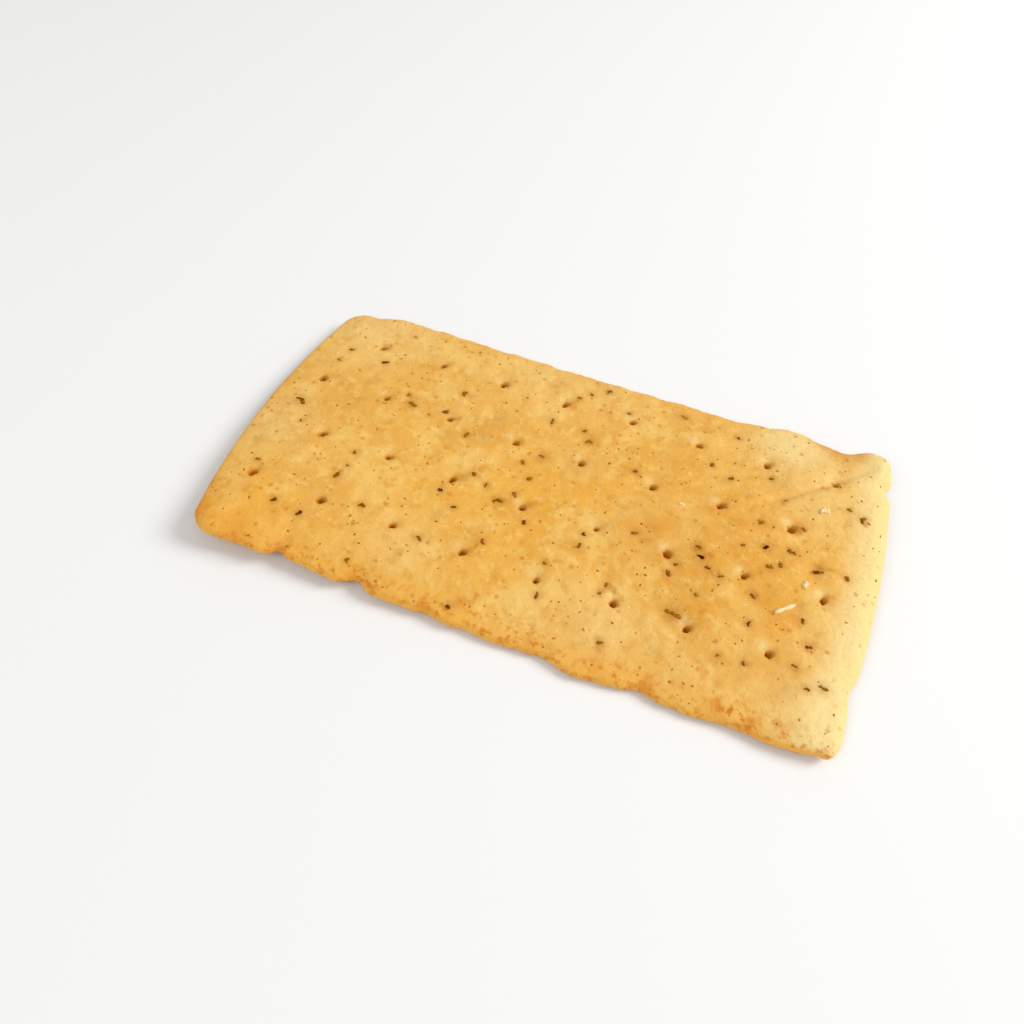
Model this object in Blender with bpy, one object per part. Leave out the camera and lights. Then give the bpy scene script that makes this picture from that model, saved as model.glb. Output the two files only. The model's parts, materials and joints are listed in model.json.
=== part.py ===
"""Rosemary cracker: one long sheet cracker with rows of dock holes and baked-in herb flecks.

The cracker lies flat. Its origin is the middle of its footprint on the table, +X runs to the
fat end and +Y to the far long edge. Sizes are in millimetres and become metres in the mesh.
"""

import math

import bmesh
import bpy
import numpy as np

MM = 0.001

# Driving sizes of the slab
LENGTH = 150.0
WIDTH = 82.0
THICKNESS = 4.4
LONG_EDGE_THICKNESS = 2.0
FAT_END_THICKNESS = 3.7
FAT_END_START = 50.0
THICKENING = 7.0

# Bow of the slab: lift of the ends, of the far right and near left corners, and of the sides
END_LIFT = 2.6
CORNER_TWIST = 1.5
SIDE_LIFT = 0.5
FLAT_DEPTH = 0.5

# Underside: it lies on four low spots and a flat pad in the middle, and is clear elsewhere
TABLE_GAP = 0.45
LOW_SPOTS = ((-33.4, 22.0), (33.4, 22.0), (33.4, -22.0), (-33.4, -22.0))
LOW_SPOT_RADIUS = 5.0
PAD_FLAT_RADIUS = 9.0
PAD_OUTER_RADIUS = 14.0

# Short ends bulge in the middle and lean a little; the crest is the furthest reach
LEFT_CREST = -74.9
LEFT_LEAN = 1.1
LEFT_BULGE = 4.7
RIGHT_CREST = 74.5
RIGHT_LEAN = 2.5
RIGHT_BULGE = 3.1

# Bites and bumps of the edges as (place along the edge, half width, depth inwards)
FAR_EDGE = 41.2
FAR_BITES = (
    (-69.0, 11.0, 2.5),
    (-63.5, 2.6, 0.7),
    (34.5, 5.0, 0.6),
    (48.0, 4.0, -0.9),
    (56.0, 2.2, 0.5),
    (62.5, 4.6, 2.5),
    (74.0, 5.0, 1.5),
)
NEAR_EDGE = -40.4
NEAR_BITES = (
    (-51.3, 1.9, 1.5),
    (-47.5, 4.5, 1.1),
    (-33.2, 2.7, 2.0),
    (-17.0, 5.0, 0.6),
    (9.0, 2.6, 0.5),
    (17.0, 6.5, -1.3),
    (30.0, 2.4, 0.9),
    (40.0, 6.0, -0.6),
    (59.0, 5.5, -0.8),
)
RIGHT_BITES = (
    (29.6, 1.7, 1.6),
    (-25.7, 3.0, 0.9),
    (-36.5, 4.0, -0.8),
)
TORN_RAGGEDNESS = 0.35
TORN_CELL = 4.0
FAR_SEED = 11
NEAR_SEED = 12

# Corner radii: far left, far right, near left, near right
FAR_LEFT_RADIUS = 5.5
FAR_RIGHT_RADIUS = 3.0
NEAR_LEFT_RADIUS = 4.0
NEAR_RIGHT_RADIUS = 1.5

# How far in from the rim the faces round over, and the share of the height at which they meet
TORN_NOSE = 0.9
LEFT_NOSE = 1.6
RIGHT_NOSE = 5.4
UNDER_NOSE = 1.2
RIM_HEIGHT = 0.34
LEAST_RIM = 0.15

# Relief of the top: soft swells, blisters, a puffed corner and creases near the fat end
SWELLS = ((24.0, 0.30, 21), (10.0, 0.14, 22))
RELIEF_FADE = 3.0
BLISTER_COUNT = 22
BLISTER_REACH = (0.45, 0.42)
BLISTER_RADIUS = (3.0, 6.5)
BLISTER_HEIGHT = (0.12, 0.38)
BLISTER_SEED = 5
PUFFED_CORNER = (69.6, 35.2, 5.0, 1.0)
CREASES = (
    (48.4, 17.6, 67.9, 33.2, 1.3, 0.8),
    (18.0, 25.0, 46.0, 21.0, 2.6, 0.30),
    (44.0, 2.0, 58.0, 9.0, 3.0, 0.35),
)

# Dock holes: staggered rows, half a pitch apart from row to row
HOLE_PITCH = 17.0
HOLE_ROWS = 4
HOLES_PER_ROW = 8
HOLE_GRID_X = -1.8
HOLE_GRID_Y = 1.6
HOLE_WANDER = 0.35
HOLE_SEED = 3
HOLE_DEPTH = 2.7
HOLE_TOP_RADIUS = 1.0
HOLE_BOTTOM_RADIUS = 0.45
HOLE_SIDES = 8
HOLE_CLEARANCE = 2.3
PIN_REACH = 1.0

# Herb flecks: the largest by hand as (x, y, length, turn in degrees), the rest by a seeded rule
LARGE_FLECKS = (
    (32.3, -21.7, 3.5, -17.0),
    (-66.3, 0.7, 2.6, -33.0),
    (35.1, -5.6, 2.3, -15.0),
    (54.1, 3.1, 2.3, -13.0),
    (48.4, 2.4, 1.6, 45.0),
    (60.6, 0.1, 2.4, 10.0),
    (22.4, 35.4, 2.4, -29.0),
    (-41.7, 11.0, 2.1, -8.0),
    (-6.8, 8.4, 2.0, -13.0),
    (8.6, -12.9, 1.9, 71.0),
    (-12.2, -8.2, 2.1, 14.0),
    (64.8, -27.2, 2.0, -6.0),
    (-51.1, -29.4, 1.6, 50.0),
    (-39.6, -22.0, 1.6, 14.0),
    (-48.4, -16.6, 1.6, 68.0),
    (-25.9, 7.4, 1.6, 74.0),
    (3.8, -28.2, 1.5, 90.0),
    (-53.6, 21.4, 1.5, 30.0),
)
FLECK_COUNT = 64
FLECK_LENGTH = (0.8, 1.7)
FLECK_SLIMNESS = (0.36, 0.55)
FLECK_RISE = 0.12
FLECK_SPACING = 2.6
FLECK_RIM = 3.0
FLECK_SIDES = 5
FLECK_RINGS = ((-0.28, 1.0), (0.28, 0.85))
FLECK_SEED = 8

# Pale crumbs on the top as (x, y, length, width, turn in degrees)
CRUMBS = (
    (54.5, -11.9, 5.0, 1.3, 44.0),
    (58.1, -4.4, 1.9, 1.2, 80.0),
    (59.7, 17.5, 2.2, 1.6, 20.0),
    (27.7, 7.6, 1.2, 1.0, 0.0),
)
CRUMB_HEIGHT = 0.9
CRUMB_SPACING = 3.6

# Steps of the slab's mesh: rows close to the rim, then even spacing
RIM_STEPS = (0.0, 0.35, 1.1, 2.4, 4.4)
MESH_SPACING = 3.7
RIM_BAND = 0.3

LATTICE = 64
WELD = 1e-7
SHARP_ANGLE = 40.0


def smooth_step(value, low, high):
    """Rise from 0 at low to 1 at high with a soft start and end."""
    ratio = np.clip((value - low) / (high - low), 0.0, 1.0)
    return ratio * ratio * (3.0 - 2.0 * ratio)


def soft_noise(x, y, cell, seed):
    """Smooth random relief between -1 and 1 with bumps about one cell wide."""
    lattice = np.random.default_rng(seed).uniform(-1.0, 1.0, (LATTICE, LATTICE))
    column = x / cell + LATTICE / 2
    row = y / cell + LATTICE / 2
    left = np.floor(column).astype(int)
    low = np.floor(row).astype(int)
    across = smooth_step(column - left, 0.0, 1.0)
    up = smooth_step(row - low, 0.0, 1.0)
    left, right = left % LATTICE, (left + 1) % LATTICE
    low, high = low % LATTICE, (low + 1) % LATTICE
    bottom = lattice[low, left] * (1.0 - across) + lattice[low, right] * across
    top = lattice[high, left] * (1.0 - across) + lattice[high, right] * across
    return bottom * (1.0 - up) + top * up


def bite_depth(along, bites):
    """How far an edge is bitten in at a place along it."""
    depth = np.zeros_like(along)
    for place, half_width, inwards in bites:
        depth = depth + inwards * np.exp(-((along - place) / half_width) ** 2)
    return depth


def left_end(y):
    """X of the thin short end at a height Y of the outline."""
    s = y / (WIDTH / 2)
    return LEFT_CREST + LEFT_LEAN * s + LEFT_BULGE * s * s


def right_end(y):
    """X of the fat short end at a height Y of the outline."""
    s = y / (WIDTH / 2)
    return RIGHT_CREST + RIGHT_LEAN * s - RIGHT_BULGE * s * s - bite_depth(y, RIGHT_BITES)


def far_edge(x):
    """Y of the far long edge, torn a little unevenly."""
    ragged = TORN_RAGGEDNESS * soft_noise(x, 0.0 * x, TORN_CELL, FAR_SEED)
    return FAR_EDGE - bite_depth(x, FAR_BITES) + ragged


def near_edge(x):
    """Y of the near long edge, torn a little unevenly."""
    ragged = TORN_RAGGEDNESS * soft_noise(x, 0.0 * x, TORN_CELL, NEAR_SEED)
    return NEAR_EDGE + bite_depth(x, NEAR_BITES) + ragged


def corner_radius(x, y):
    """Radius of the corner that a point is nearest to."""
    far = np.where(x < 0.0, FAR_LEFT_RADIUS, FAR_RIGHT_RADIUS)
    near = np.where(x < 0.0, NEAR_LEFT_RADIUS, NEAR_RIGHT_RADIUS)
    return np.where(y > 0.0, far, near)


def edge_gaps(x, y):
    """Distances inwards from the nearer short end and from the nearer long edge."""
    end_gap = np.minimum(x - left_end(y), right_end(y) - x)
    side_gap = np.minimum(far_edge(x) - y, y - near_edge(x))
    return end_gap, side_gap


def rim_distance(x, y):
    """Distance inwards from the outline, with its corners rounded."""
    end_gap, side_gap = edge_gaps(x, y)
    radius = corner_radius(x, y)
    from_end = np.maximum(radius - end_gap, 0.0)
    from_side = np.maximum(radius - side_gap, 0.0)
    in_corner = (from_end > 0.0) & (from_side > 0.0)
    rounded = radius - np.hypot(from_end, from_side)
    return np.where(in_corner, rounded, np.minimum(end_gap, side_gap))


def pull_into_corners(x, y):
    """Move points of the corner regions inwards, so that the square corners become round."""
    end_gap, side_gap = edge_gaps(x, y)
    radius = corner_radius(x, y)
    p = np.clip(1.0 - end_gap / radius, 0.0, None)
    q = np.clip(1.0 - side_gap / radius, 0.0, None)
    span = np.maximum(np.hypot(p, q), 1e-9)
    shrink = np.maximum(p, q) / span
    inwards_x = np.where(p * q > 0.0, p * (1.0 - shrink) * radius, 0.0)
    inwards_y = np.where(p * q > 0.0, q * (1.0 - shrink) * radius, 0.0)
    return x - np.sign(x) * inwards_x, y - np.sign(y) * inwards_y


def plan(u, v):
    """Place of a grid point: a plain rectangle inside, the real outline at the rim."""
    weight_u = np.clip((np.abs(u) - 1.0 + RIM_BAND) / RIM_BAND, 0.0, 1.0) ** 2
    weight_v = np.clip((np.abs(v) - 1.0 + RIM_BAND) / RIM_BAND, 0.0, 1.0) ** 2
    x = u * LENGTH / 2
    y = v * WIDTH / 2
    x = x + np.where(u > 0.0, right_end(y) - LENGTH / 2, left_end(y) + LENGTH / 2) * weight_u
    y = y + np.where(v > 0.0, far_edge(x) - WIDTH / 2, near_edge(x) + WIDTH / 2) * weight_v
    return pull_into_corners(x, y)


def bow(x, y):
    """Height of the bowed slab above the level that its belly is pressed flat to."""
    s = x / (LENGTH / 2)
    t = y / (WIDTH / 2)
    return END_LIFT * s * s + CORNER_TWIST * s * t + SIDE_LIFT * t * t - FLAT_DEPTH


def nearest_step(value, half_size):
    """The row or column of the mesh that is nearest to a place, so that a point lies there."""
    steps = grid_steps(half_size) * half_size
    return steps[np.abs(steps - value).argmin()]


def table_contact(x, y):
    """Share from 0 to 1 by which the underside comes down to the table."""
    down = 1.0 - smooth_step(np.hypot(x, y), PAD_FLAT_RADIUS, PAD_OUTER_RADIUS)
    for place_x, place_y in LOW_SPOTS:
        spot_x = nearest_step(place_x, LENGTH / 2)
        spot_y = nearest_step(place_y, WIDTH / 2)
        apart = np.hypot(x - spot_x, y - spot_y)
        down = np.maximum(down, 1.0 - smooth_step(apart, 0.0, LOW_SPOT_RADIUS))
    return down


def slab_thickness(x, rim):
    """Thickness of the slab, less towards its edges and more at the fat end."""
    fat = smooth_step(x, FAT_END_START, LENGTH / 2)
    edge = LONG_EDGE_THICKNESS + (FAT_END_THICKNESS - LONG_EDGE_THICKNESS) * fat
    return edge + (THICKNESS - edge) * (1.0 - np.exp(-np.maximum(rim, 0.0) / THICKENING))


def blisters():
    """Places, radii and heights of the low domes that steam raised."""
    yield PUFFED_CORNER
    draw = np.random.default_rng(BLISTER_SEED)
    for _ in range(BLISTER_COUNT):
        x = draw.uniform(-BLISTER_REACH[0], BLISTER_REACH[0]) * LENGTH
        y = draw.uniform(-BLISTER_REACH[1], BLISTER_REACH[1]) * WIDTH
        radius = draw.uniform(*BLISTER_RADIUS)
        height = draw.uniform(*BLISTER_HEIGHT)
        yield x, y, radius, height


def crease(x, y, start_x, start_y, end_x, end_y, half_width, depth):
    """Depth of a soft groove along a straight line."""
    run_x, run_y = end_x - start_x, end_y - start_y
    length = math.hypot(run_x, run_y)
    along = ((x - start_x) * run_x + (y - start_y) * run_y) / length
    past = np.maximum(np.maximum(-along, along - length), 0.0)
    aside = ((x - start_x) * run_y - (y - start_y) * run_x) / length
    return depth * np.exp(-(aside / half_width) ** 2 - (past / (2.0 * half_width)) ** 2)


def relief(x, y):
    """Swells, blisters and creases of the top face."""
    height = np.zeros_like(x)
    for cell, amount, seed in SWELLS:
        height = height + amount * soft_noise(x, y, cell, seed)
    for place_x, place_y, radius, rise in blisters():
        apart = np.hypot(x - place_x, y - place_y) / radius
        height = height + rise * np.exp(-apart ** 2)
    for line in CREASES:
        height = height - crease(x, y, *line)
    return height


def faces_at(x, y):
    """Heights of the top face and of the underside at a point of the plan."""
    rim = np.maximum(rim_distance(x, y), LEAST_RIM)
    end_gap, side_gap = edge_gaps(x, y)
    end_gap = np.maximum(end_gap, LEAST_RIM)
    side_gap = np.maximum(side_gap, LEAST_RIM)
    near_end = side_gap / (end_gap + side_gap)
    end_nose = np.where(x > 0.0, RIGHT_NOSE, LEFT_NOSE)
    nose = TORN_NOSE + (end_nose - TORN_NOSE) * near_end
    lift = bow(x, y) + TABLE_GAP
    fade = np.clip(rim / RELIEF_FADE, 0.0, 1.0)
    top = lift + slab_thickness(x, rim) + relief(x, y) * fade
    under = np.maximum(lift, TABLE_GAP) * (1.0 - table_contact(x, y))
    middle = under + RIM_HEIGHT * (top - under)
    top_round = np.sqrt(1.0 - (1.0 - np.clip(rim / nose, 0.0, 1.0)) ** 2)
    under_round = np.sqrt(1.0 - (1.0 - np.clip(rim / UNDER_NOSE, 0.0, 1.0)) ** 2)
    return middle + (top - middle) * top_round, middle - (middle - under) * under_round


def top_height(x, y):
    """Height of the top face at one point."""
    return float(faces_at(np.array([x]), np.array([y]))[0][0])


def grid_steps(half_size):
    """Positions from -1 to 1 across the slab, close together near both rims."""
    rim = [1.0 - step / half_size for step in RIM_STEPS]
    inner = half_size - RIM_STEPS[-1]
    count = round(2.0 * inner / MESH_SPACING)
    middle = np.linspace(-rim[-1], rim[-1], count + 1)[1:-1]
    return np.concatenate([-np.array(rim), middle, np.array(rim[::-1])])


def make_slab_mesh():
    """The bowed slab: a top and an underside that share one rim."""
    across = grid_steps(LENGTH / 2)
    up = grid_steps(WIDTH / 2)
    u, v = np.meshgrid(across, up)
    x, y = plan(u, v)
    centre_x = (x.min() + x.max()) / 2
    centre_y = (y.min() + y.max()) / 2
    top, under = faces_at(x, y)
    rows, columns = x.shape
    shape = bmesh.new()
    upper = []
    lower = []
    for row in range(rows):
        upper.append([])
        lower.append([])
        for column in range(columns):
            place = ((x[row, column] - centre_x) * MM, (y[row, column] - centre_y) * MM)
            on_rim = row in (0, rows - 1) or column in (0, columns - 1)
            if on_rim:
                height = under[row, column] * (1.0 - RIM_HEIGHT) + top[row, column] * RIM_HEIGHT
                corner = shape.verts.new((*place, height * MM))
                upper[row].append(corner)
                lower[row].append(corner)
            else:
                upper[row].append(shape.verts.new((*place, top[row, column] * MM)))
                lower[row].append(shape.verts.new((*place, under[row, column] * MM)))
    for row in range(rows - 1):
        for column in range(columns - 1):
            ring = ((row, column), (row, column + 1), (row + 1, column + 1), (row + 1, column))
            shape.faces.new([upper[r][c] for r, c in ring])
            shape.faces.new([lower[r][c] for r, c in reversed(ring)])
    bmesh.ops.triangulate(shape, faces=shape.faces[:])
    mesh = bpy.data.meshes.new("cracker")
    shape.to_mesh(mesh)
    shape.free()
    return mesh, centre_x, centre_y


def hole_places():
    """Centres of the dock holes, each a little off its place in the staggered rows."""
    draw = np.random.default_rng(HOLE_SEED)
    places = []
    for row in range(HOLE_ROWS):
        stagger = 0.5 if row % 2 == 0 else 0.0
        for column in range(HOLES_PER_ROW):
            x = (column + stagger - HOLES_PER_ROW / 2 + 0.25) * HOLE_PITCH + HOLE_GRID_X
            y = ((HOLE_ROWS - 1) / 2 - row) * HOLE_PITCH + HOLE_GRID_Y
            wander = draw.normal(0.0, HOLE_WANDER, 2)
            places.append((x + wander[0], y + wander[1]))
    return places


def make_dock_pins(places, centre_x, centre_y):
    """Tapered pins, in one object, that press the dock holes into the slab."""
    shape = bmesh.new()
    taper = (HOLE_TOP_RADIUS - HOLE_BOTTOM_RADIUS) / HOLE_DEPTH
    for x, y in places:
        base = top_height(x, y) - HOLE_DEPTH
        made = bmesh.ops.create_cone(
            shape,
            cap_ends=True,
            segments=HOLE_SIDES,
            radius1=HOLE_BOTTOM_RADIUS * MM,
            radius2=(HOLE_TOP_RADIUS + taper * PIN_REACH) * MM,
            depth=(HOLE_DEPTH + PIN_REACH) * MM,
        )
        middle = base + (HOLE_DEPTH + PIN_REACH) / 2
        shift = ((x - centre_x) * MM, (y - centre_y) * MM, middle * MM)
        bmesh.ops.translate(shape, verts=made["verts"], vec=shift)
    mesh = bpy.data.meshes.new("dock_pins")
    shape.to_mesh(mesh)
    shape.free()
    pins = bpy.data.objects.new("dock_pins", mesh)
    pins.hide_render = True
    pins.display_type = "WIRE"
    bpy.context.scene.collection.objects.link(pins)
    return pins


def fleck_places(holes):
    """Places, lengths, slimness and turns of the herb flecks, clear of holes and each other."""
    draw = np.random.default_rng(FLECK_SEED)
    flecks = []
    for x, y, length, turn in LARGE_FLECKS:
        flecks.append((x, y, length, FLECK_SLIMNESS[0], turn))
    wanted = len(LARGE_FLECKS) + FLECK_COUNT
    while len(flecks) < wanted:
        x = draw.uniform(-LENGTH / 2, LENGTH / 2)
        y = draw.uniform(-WIDTH / 2, WIDTH / 2)
        length = draw.uniform(*FLECK_LENGTH)
        slimness = draw.uniform(*FLECK_SLIMNESS)
        turn = draw.uniform(0.0, 180.0)
        if float(rim_distance(np.array([x]), np.array([y]))[0]) < FLECK_RIM:
            continue
        if min(math.hypot(x - a, y - b) for a, b in holes) < HOLE_CLEARANCE:
            continue
        if min(math.hypot(x - f[0], y - f[1]) for f in flecks) < FLECK_SPACING:
            continue
        if min(math.hypot(x - c[0], y - c[1]) for c in CRUMBS) < CRUMB_SPACING:
            continue
        flecks.append((x, y, length, slimness, turn))
    return flecks


def add_fleck(group, number, fleck, centre_x, centre_y):
    """One spindle-shaped bit of herb, half sunk in the top face."""
    x, y, length, slimness, turn = fleck
    radius = length * slimness / 2
    shape = bmesh.new()
    rings = []
    for along, girth in FLECK_RINGS:
        ring = []
        for side in range(FLECK_SIDES):
            angle = 2.0 * math.pi * side / FLECK_SIDES
            around = (math.cos(angle) * radius * girth, math.sin(angle) * radius * girth)
            ring.append(shape.verts.new((along * length * MM, around[0] * MM, around[1] * MM)))
        rings.append(ring)
    tips = [shape.verts.new((end * length / 2 * MM, 0.0, 0.0)) for end in (-1.0, 1.0)]
    for side in range(FLECK_SIDES):
        after = (side + 1) % FLECK_SIDES
        shape.faces.new((tips[0], rings[0][after], rings[0][side]))
        shape.faces.new((rings[0][side], rings[0][after], rings[1][after], rings[1][side]))
        shape.faces.new((tips[1], rings[1][side], rings[1][after]))
    bmesh.ops.recalc_face_normals(shape, faces=shape.faces[:])
    bmesh.ops.triangulate(shape, faces=shape.faces[:])
    place_topping(group, f"fleck_{number}", shape, (x - centre_x, y - centre_y), turn,
                  top_height(x, y) + FLECK_RISE)


def add_crumb(group, number, crumb, centre_x, centre_y):
    """One pale crumb: a low faceted lump."""
    x, y, length, width, turn = crumb
    shape = bmesh.new()
    bmesh.ops.create_icosphere(shape, subdivisions=1, radius=0.5 * MM)
    bmesh.ops.scale(shape, vec=(length, width, CRUMB_HEIGHT), verts=shape.verts[:])
    place_topping(group, f"crumb_{number}", shape, (x - centre_x, y - centre_y), turn,
                  top_height(x, y) + FLECK_RISE)


def place_topping(group, name, shape, place, turn, height):
    """Turn a small piece about the vertical, set it on the slab and add it to the group."""
    mesh = bpy.data.meshes.new(name)
    shape.to_mesh(mesh)
    shape.free()
    piece = bpy.data.objects.new(name, mesh)
    piece.location = (place[0] * MM, place[1] * MM, height * MM)
    piece.rotation_euler = (0.0, 0.0, math.radians(turn))
    piece.hide_render = True
    piece.display_type = "WIRE"
    group.objects.link(piece)


def keep_largest_body(mesh):
    """Drop any loose scrap that the cuts and joins left."""
    shape = bmesh.new()
    shape.from_mesh(mesh)
    bmesh.ops.remove_doubles(shape, verts=shape.verts[:], dist=WELD)
    shape.verts.ensure_lookup_table()
    unseen = set(shape.verts)
    bodies = []
    while unseen:
        start = unseen.pop()
        body = {start}
        edge_of_search = [start]
        while edge_of_search:
            corner = edge_of_search.pop()
            for edge in corner.link_edges:
                other = edge.other_vert(corner)
                if other in unseen:
                    unseen.discard(other)
                    body.add(other)
                    edge_of_search.append(other)
        bodies.append(body)
    largest = max(bodies, key=len)
    scrap = [corner for corner in shape.verts if corner not in largest]
    bmesh.ops.delete(shape, geom=scrap, context="VERTS")
    shape.to_mesh(mesh)
    shape.free()


def crust_material():
    """Golden baked crust."""
    material = bpy.data.materials.new("crust")
    material.use_nodes = True
    shader = material.node_tree.nodes["Principled BSDF"]
    shader.inputs["Base Color"].default_value = (0.84, 0.47, 0.11, 1.0)
    shader.inputs["Roughness"].default_value = 0.55
    shader.inputs["Metallic"].default_value = 0.0
    return material


def make_cracker():
    """The whole cracker as one solid: slab, less its dock holes, with its toppings fused on."""
    mesh, centre_x, centre_y = make_slab_mesh()
    cracker = bpy.data.objects.new("cracker", mesh)
    bpy.context.scene.collection.objects.link(cracker)
    holes = hole_places()
    pins = make_dock_pins(holes, centre_x, centre_y)
    toppings = bpy.data.collections.new("toppings")
    bpy.context.scene.collection.children.link(toppings)
    for number, fleck in enumerate(fleck_places(holes)):
        add_fleck(toppings, number, fleck, centre_x, centre_y)
    for number, crumb in enumerate(CRUMBS):
        add_crumb(toppings, number, crumb, centre_x, centre_y)
    docking = cracker.modifiers.new("docking", "BOOLEAN")
    docking.operation = "DIFFERENCE"
    docking.object = pins
    joining = cracker.modifiers.new("joining", "BOOLEAN")
    joining.operation = "UNION"
    joining.operand_type = "COLLECTION"
    joining.collection = toppings
    seen = cracker.evaluated_get(bpy.context.evaluated_depsgraph_get())
    joined = bpy.data.meshes.new_from_object(seen)
    cracker.modifiers.clear()
    for piece in [pins, *toppings.objects]:
        bpy.data.objects.remove(piece, do_unlink=True)
    bpy.data.collections.remove(toppings)
    keep_largest_body(joined)
    joined.name = "cracker"
    cracker.data = joined
    joined.materials.clear()
    joined.materials.append(crust_material())
    joined.shade_smooth()
    joined.set_sharp_from_angle(angle=math.radians(SHARP_ANGLE))


def main():
    for piece in list(bpy.data.objects):
        bpy.data.objects.remove(piece, do_unlink=True)
    make_cracker()


main()
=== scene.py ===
"""Looks of a rosemary cracker: crust, herb flecks, crumbs, studio light and camera.

The slab is made again at a fine step from the same rules as its solid, in millimetres, and every
finished piece lies where the solid lies. Lengths in the settings are in metres, as Blender's are.
"""

import json
import math

import bmesh
import bpy
import numpy as np
from bpy.props import FloatProperty, FloatVectorProperty, IntProperty, PointerProperty
from mathutils import Matrix, Vector

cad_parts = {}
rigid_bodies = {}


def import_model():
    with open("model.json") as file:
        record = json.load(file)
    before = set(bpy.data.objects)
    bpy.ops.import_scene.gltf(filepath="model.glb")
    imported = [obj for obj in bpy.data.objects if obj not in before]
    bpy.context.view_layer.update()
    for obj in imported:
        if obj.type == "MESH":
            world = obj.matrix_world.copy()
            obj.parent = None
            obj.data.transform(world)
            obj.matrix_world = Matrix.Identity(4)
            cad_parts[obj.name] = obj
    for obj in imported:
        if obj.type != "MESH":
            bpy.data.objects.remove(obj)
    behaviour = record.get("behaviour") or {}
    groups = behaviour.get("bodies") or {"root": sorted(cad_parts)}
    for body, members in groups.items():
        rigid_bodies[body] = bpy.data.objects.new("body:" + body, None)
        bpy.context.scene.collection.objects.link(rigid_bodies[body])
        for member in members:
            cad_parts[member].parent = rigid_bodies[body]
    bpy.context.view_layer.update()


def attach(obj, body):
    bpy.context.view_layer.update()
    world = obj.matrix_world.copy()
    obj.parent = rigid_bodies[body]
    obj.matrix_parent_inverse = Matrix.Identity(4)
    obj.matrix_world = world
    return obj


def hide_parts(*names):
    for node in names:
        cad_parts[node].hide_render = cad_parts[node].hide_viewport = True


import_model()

bl_info = {
    "name": "Rosemary cracker",
    "version": (1, 0, 0),
    "blender": (4, 5, 0),
    "location": "3D View > Sidebar > Cracker",
    "description": "Builds a docked sheet cracker with baked-in rosemary, its light and its camera",
    "category": "Add Mesh",
}

MM = 0.001
BODY = "root"
SOLID = "cracker"

# Driving sizes of the slab, in millimetres
LENGTH = 150.0
WIDTH = 82.0
THICKNESS = 4.4
LONG_EDGE_THICKNESS = 2.0
FAT_END_THICKNESS = 3.7
FAT_END_START = 50.0
THICKENING = 7.0

# Bow of the slab: lift of the ends, of the far right and near left corners, and of the sides
END_LIFT = 2.6
CORNER_TWIST = 1.5
SIDE_LIFT = 0.5
FLAT_DEPTH = 0.5

# Underside: it lies on four low spots and a flat pad in the middle, and is clear elsewhere
TABLE_GAP = 0.45
LOW_SPOTS = ((-33.442, 21.96), (33.442, 21.96), (33.442, -21.96), (-33.442, -21.96))
LOW_SPOT_RADIUS = 5.0
PAD_FLAT_RADIUS = 9.0
PAD_OUTER_RADIUS = 14.0

# Short ends bulge in the middle and lean a little; the crest is the furthest reach
LEFT_CREST = -74.9
LEFT_LEAN = 1.1
LEFT_BULGE = 4.7
RIGHT_CREST = 74.5
RIGHT_LEAN = 2.5
RIGHT_BULGE = 3.1

# Bites and bumps of the edges as (place along the edge, half width, depth inwards)
FAR_EDGE = 41.2
FAR_BITES = (
    (-69.0, 11.0, 2.5),
    (-63.5, 2.6, 0.7),
    (34.5, 5.0, 0.6),
    (48.0, 4.0, -0.9),
    (56.0, 2.2, 0.5),
    (62.5, 4.6, 2.5),
    (74.0, 5.0, 1.5),
)
NEAR_EDGE = -40.4
NEAR_BITES = (
    (-51.3, 1.9, 1.5),
    (-47.5, 4.5, 1.1),
    (-33.2, 2.7, 2.0),
    (-17.0, 5.0, 0.6),
    (9.0, 2.6, 0.5),
    (17.0, 6.5, -1.3),
    (30.0, 2.4, 0.9),
    (40.0, 6.0, -0.6),
    (59.0, 5.5, -0.8),
)
RIGHT_BITES = (
    (29.6, 1.7, 1.6),
    (-25.7, 3.0, 0.9),
    (-36.5, 4.0, -0.8),
)

# Tear of the long edges, with finer ones on top as (cell, amount, shift of the seed)
TORN_RAGGEDNESS = 0.35
TORN_CELL = 4.0
TORN_FINE = ((1.9, 0.13, 50), (0.8, 0.05, 51))
FAR_SEED = 11
NEAR_SEED = 12

# Corner radii: far left, far right, near left, near right
FAR_LEFT_RADIUS = 5.5
FAR_RIGHT_RADIUS = 3.0
NEAR_LEFT_RADIUS = 4.0
NEAR_RIGHT_RADIUS = 1.5

# How far in from the rim the faces round over
TORN_NOSE = 0.9
LEFT_NOSE = 1.6
RIGHT_NOSE = 5.4
UNDER_NOSE = 1.2
RIM_HEIGHT = 0.34
LEAST_RIM = 0.1

# Relief of the top: soft swells as (cell, height, seed), which fade out towards the rim
SWELLS = ((24.0, 0.30, 21), (10.0, 0.14, 22))
FINE_SWELLS = ((4.2, 0.16, 31), (1.9, 0.085, 32), (0.9, 0.035, 33))
RELIEF_FADE = 3.0

# Shares of the fine relief that stay at the rim and on the floors of the holes
RIM_RELIEF = 0.3
HOLE_FLOOR_RELIEF = 0.3

# The puffed corner as (x, y, radius, height), and creases near the fat end, each from one point
# to another with its half width and its depth, and fading out past its ends in half widths
PUFFED_CORNER = (69.6, 35.2, 5.0, 1.0)
CREASE_FADE = 2.0
CREASES = (
    (48.4, 17.6, 67.9, 33.2, 1.3, 0.8),
    (18.0, 25.0, 46.0, 21.0, 2.6, 0.30),
    (44.0, 2.0, 58.0, 9.0, 3.0, 0.35),
)

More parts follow.
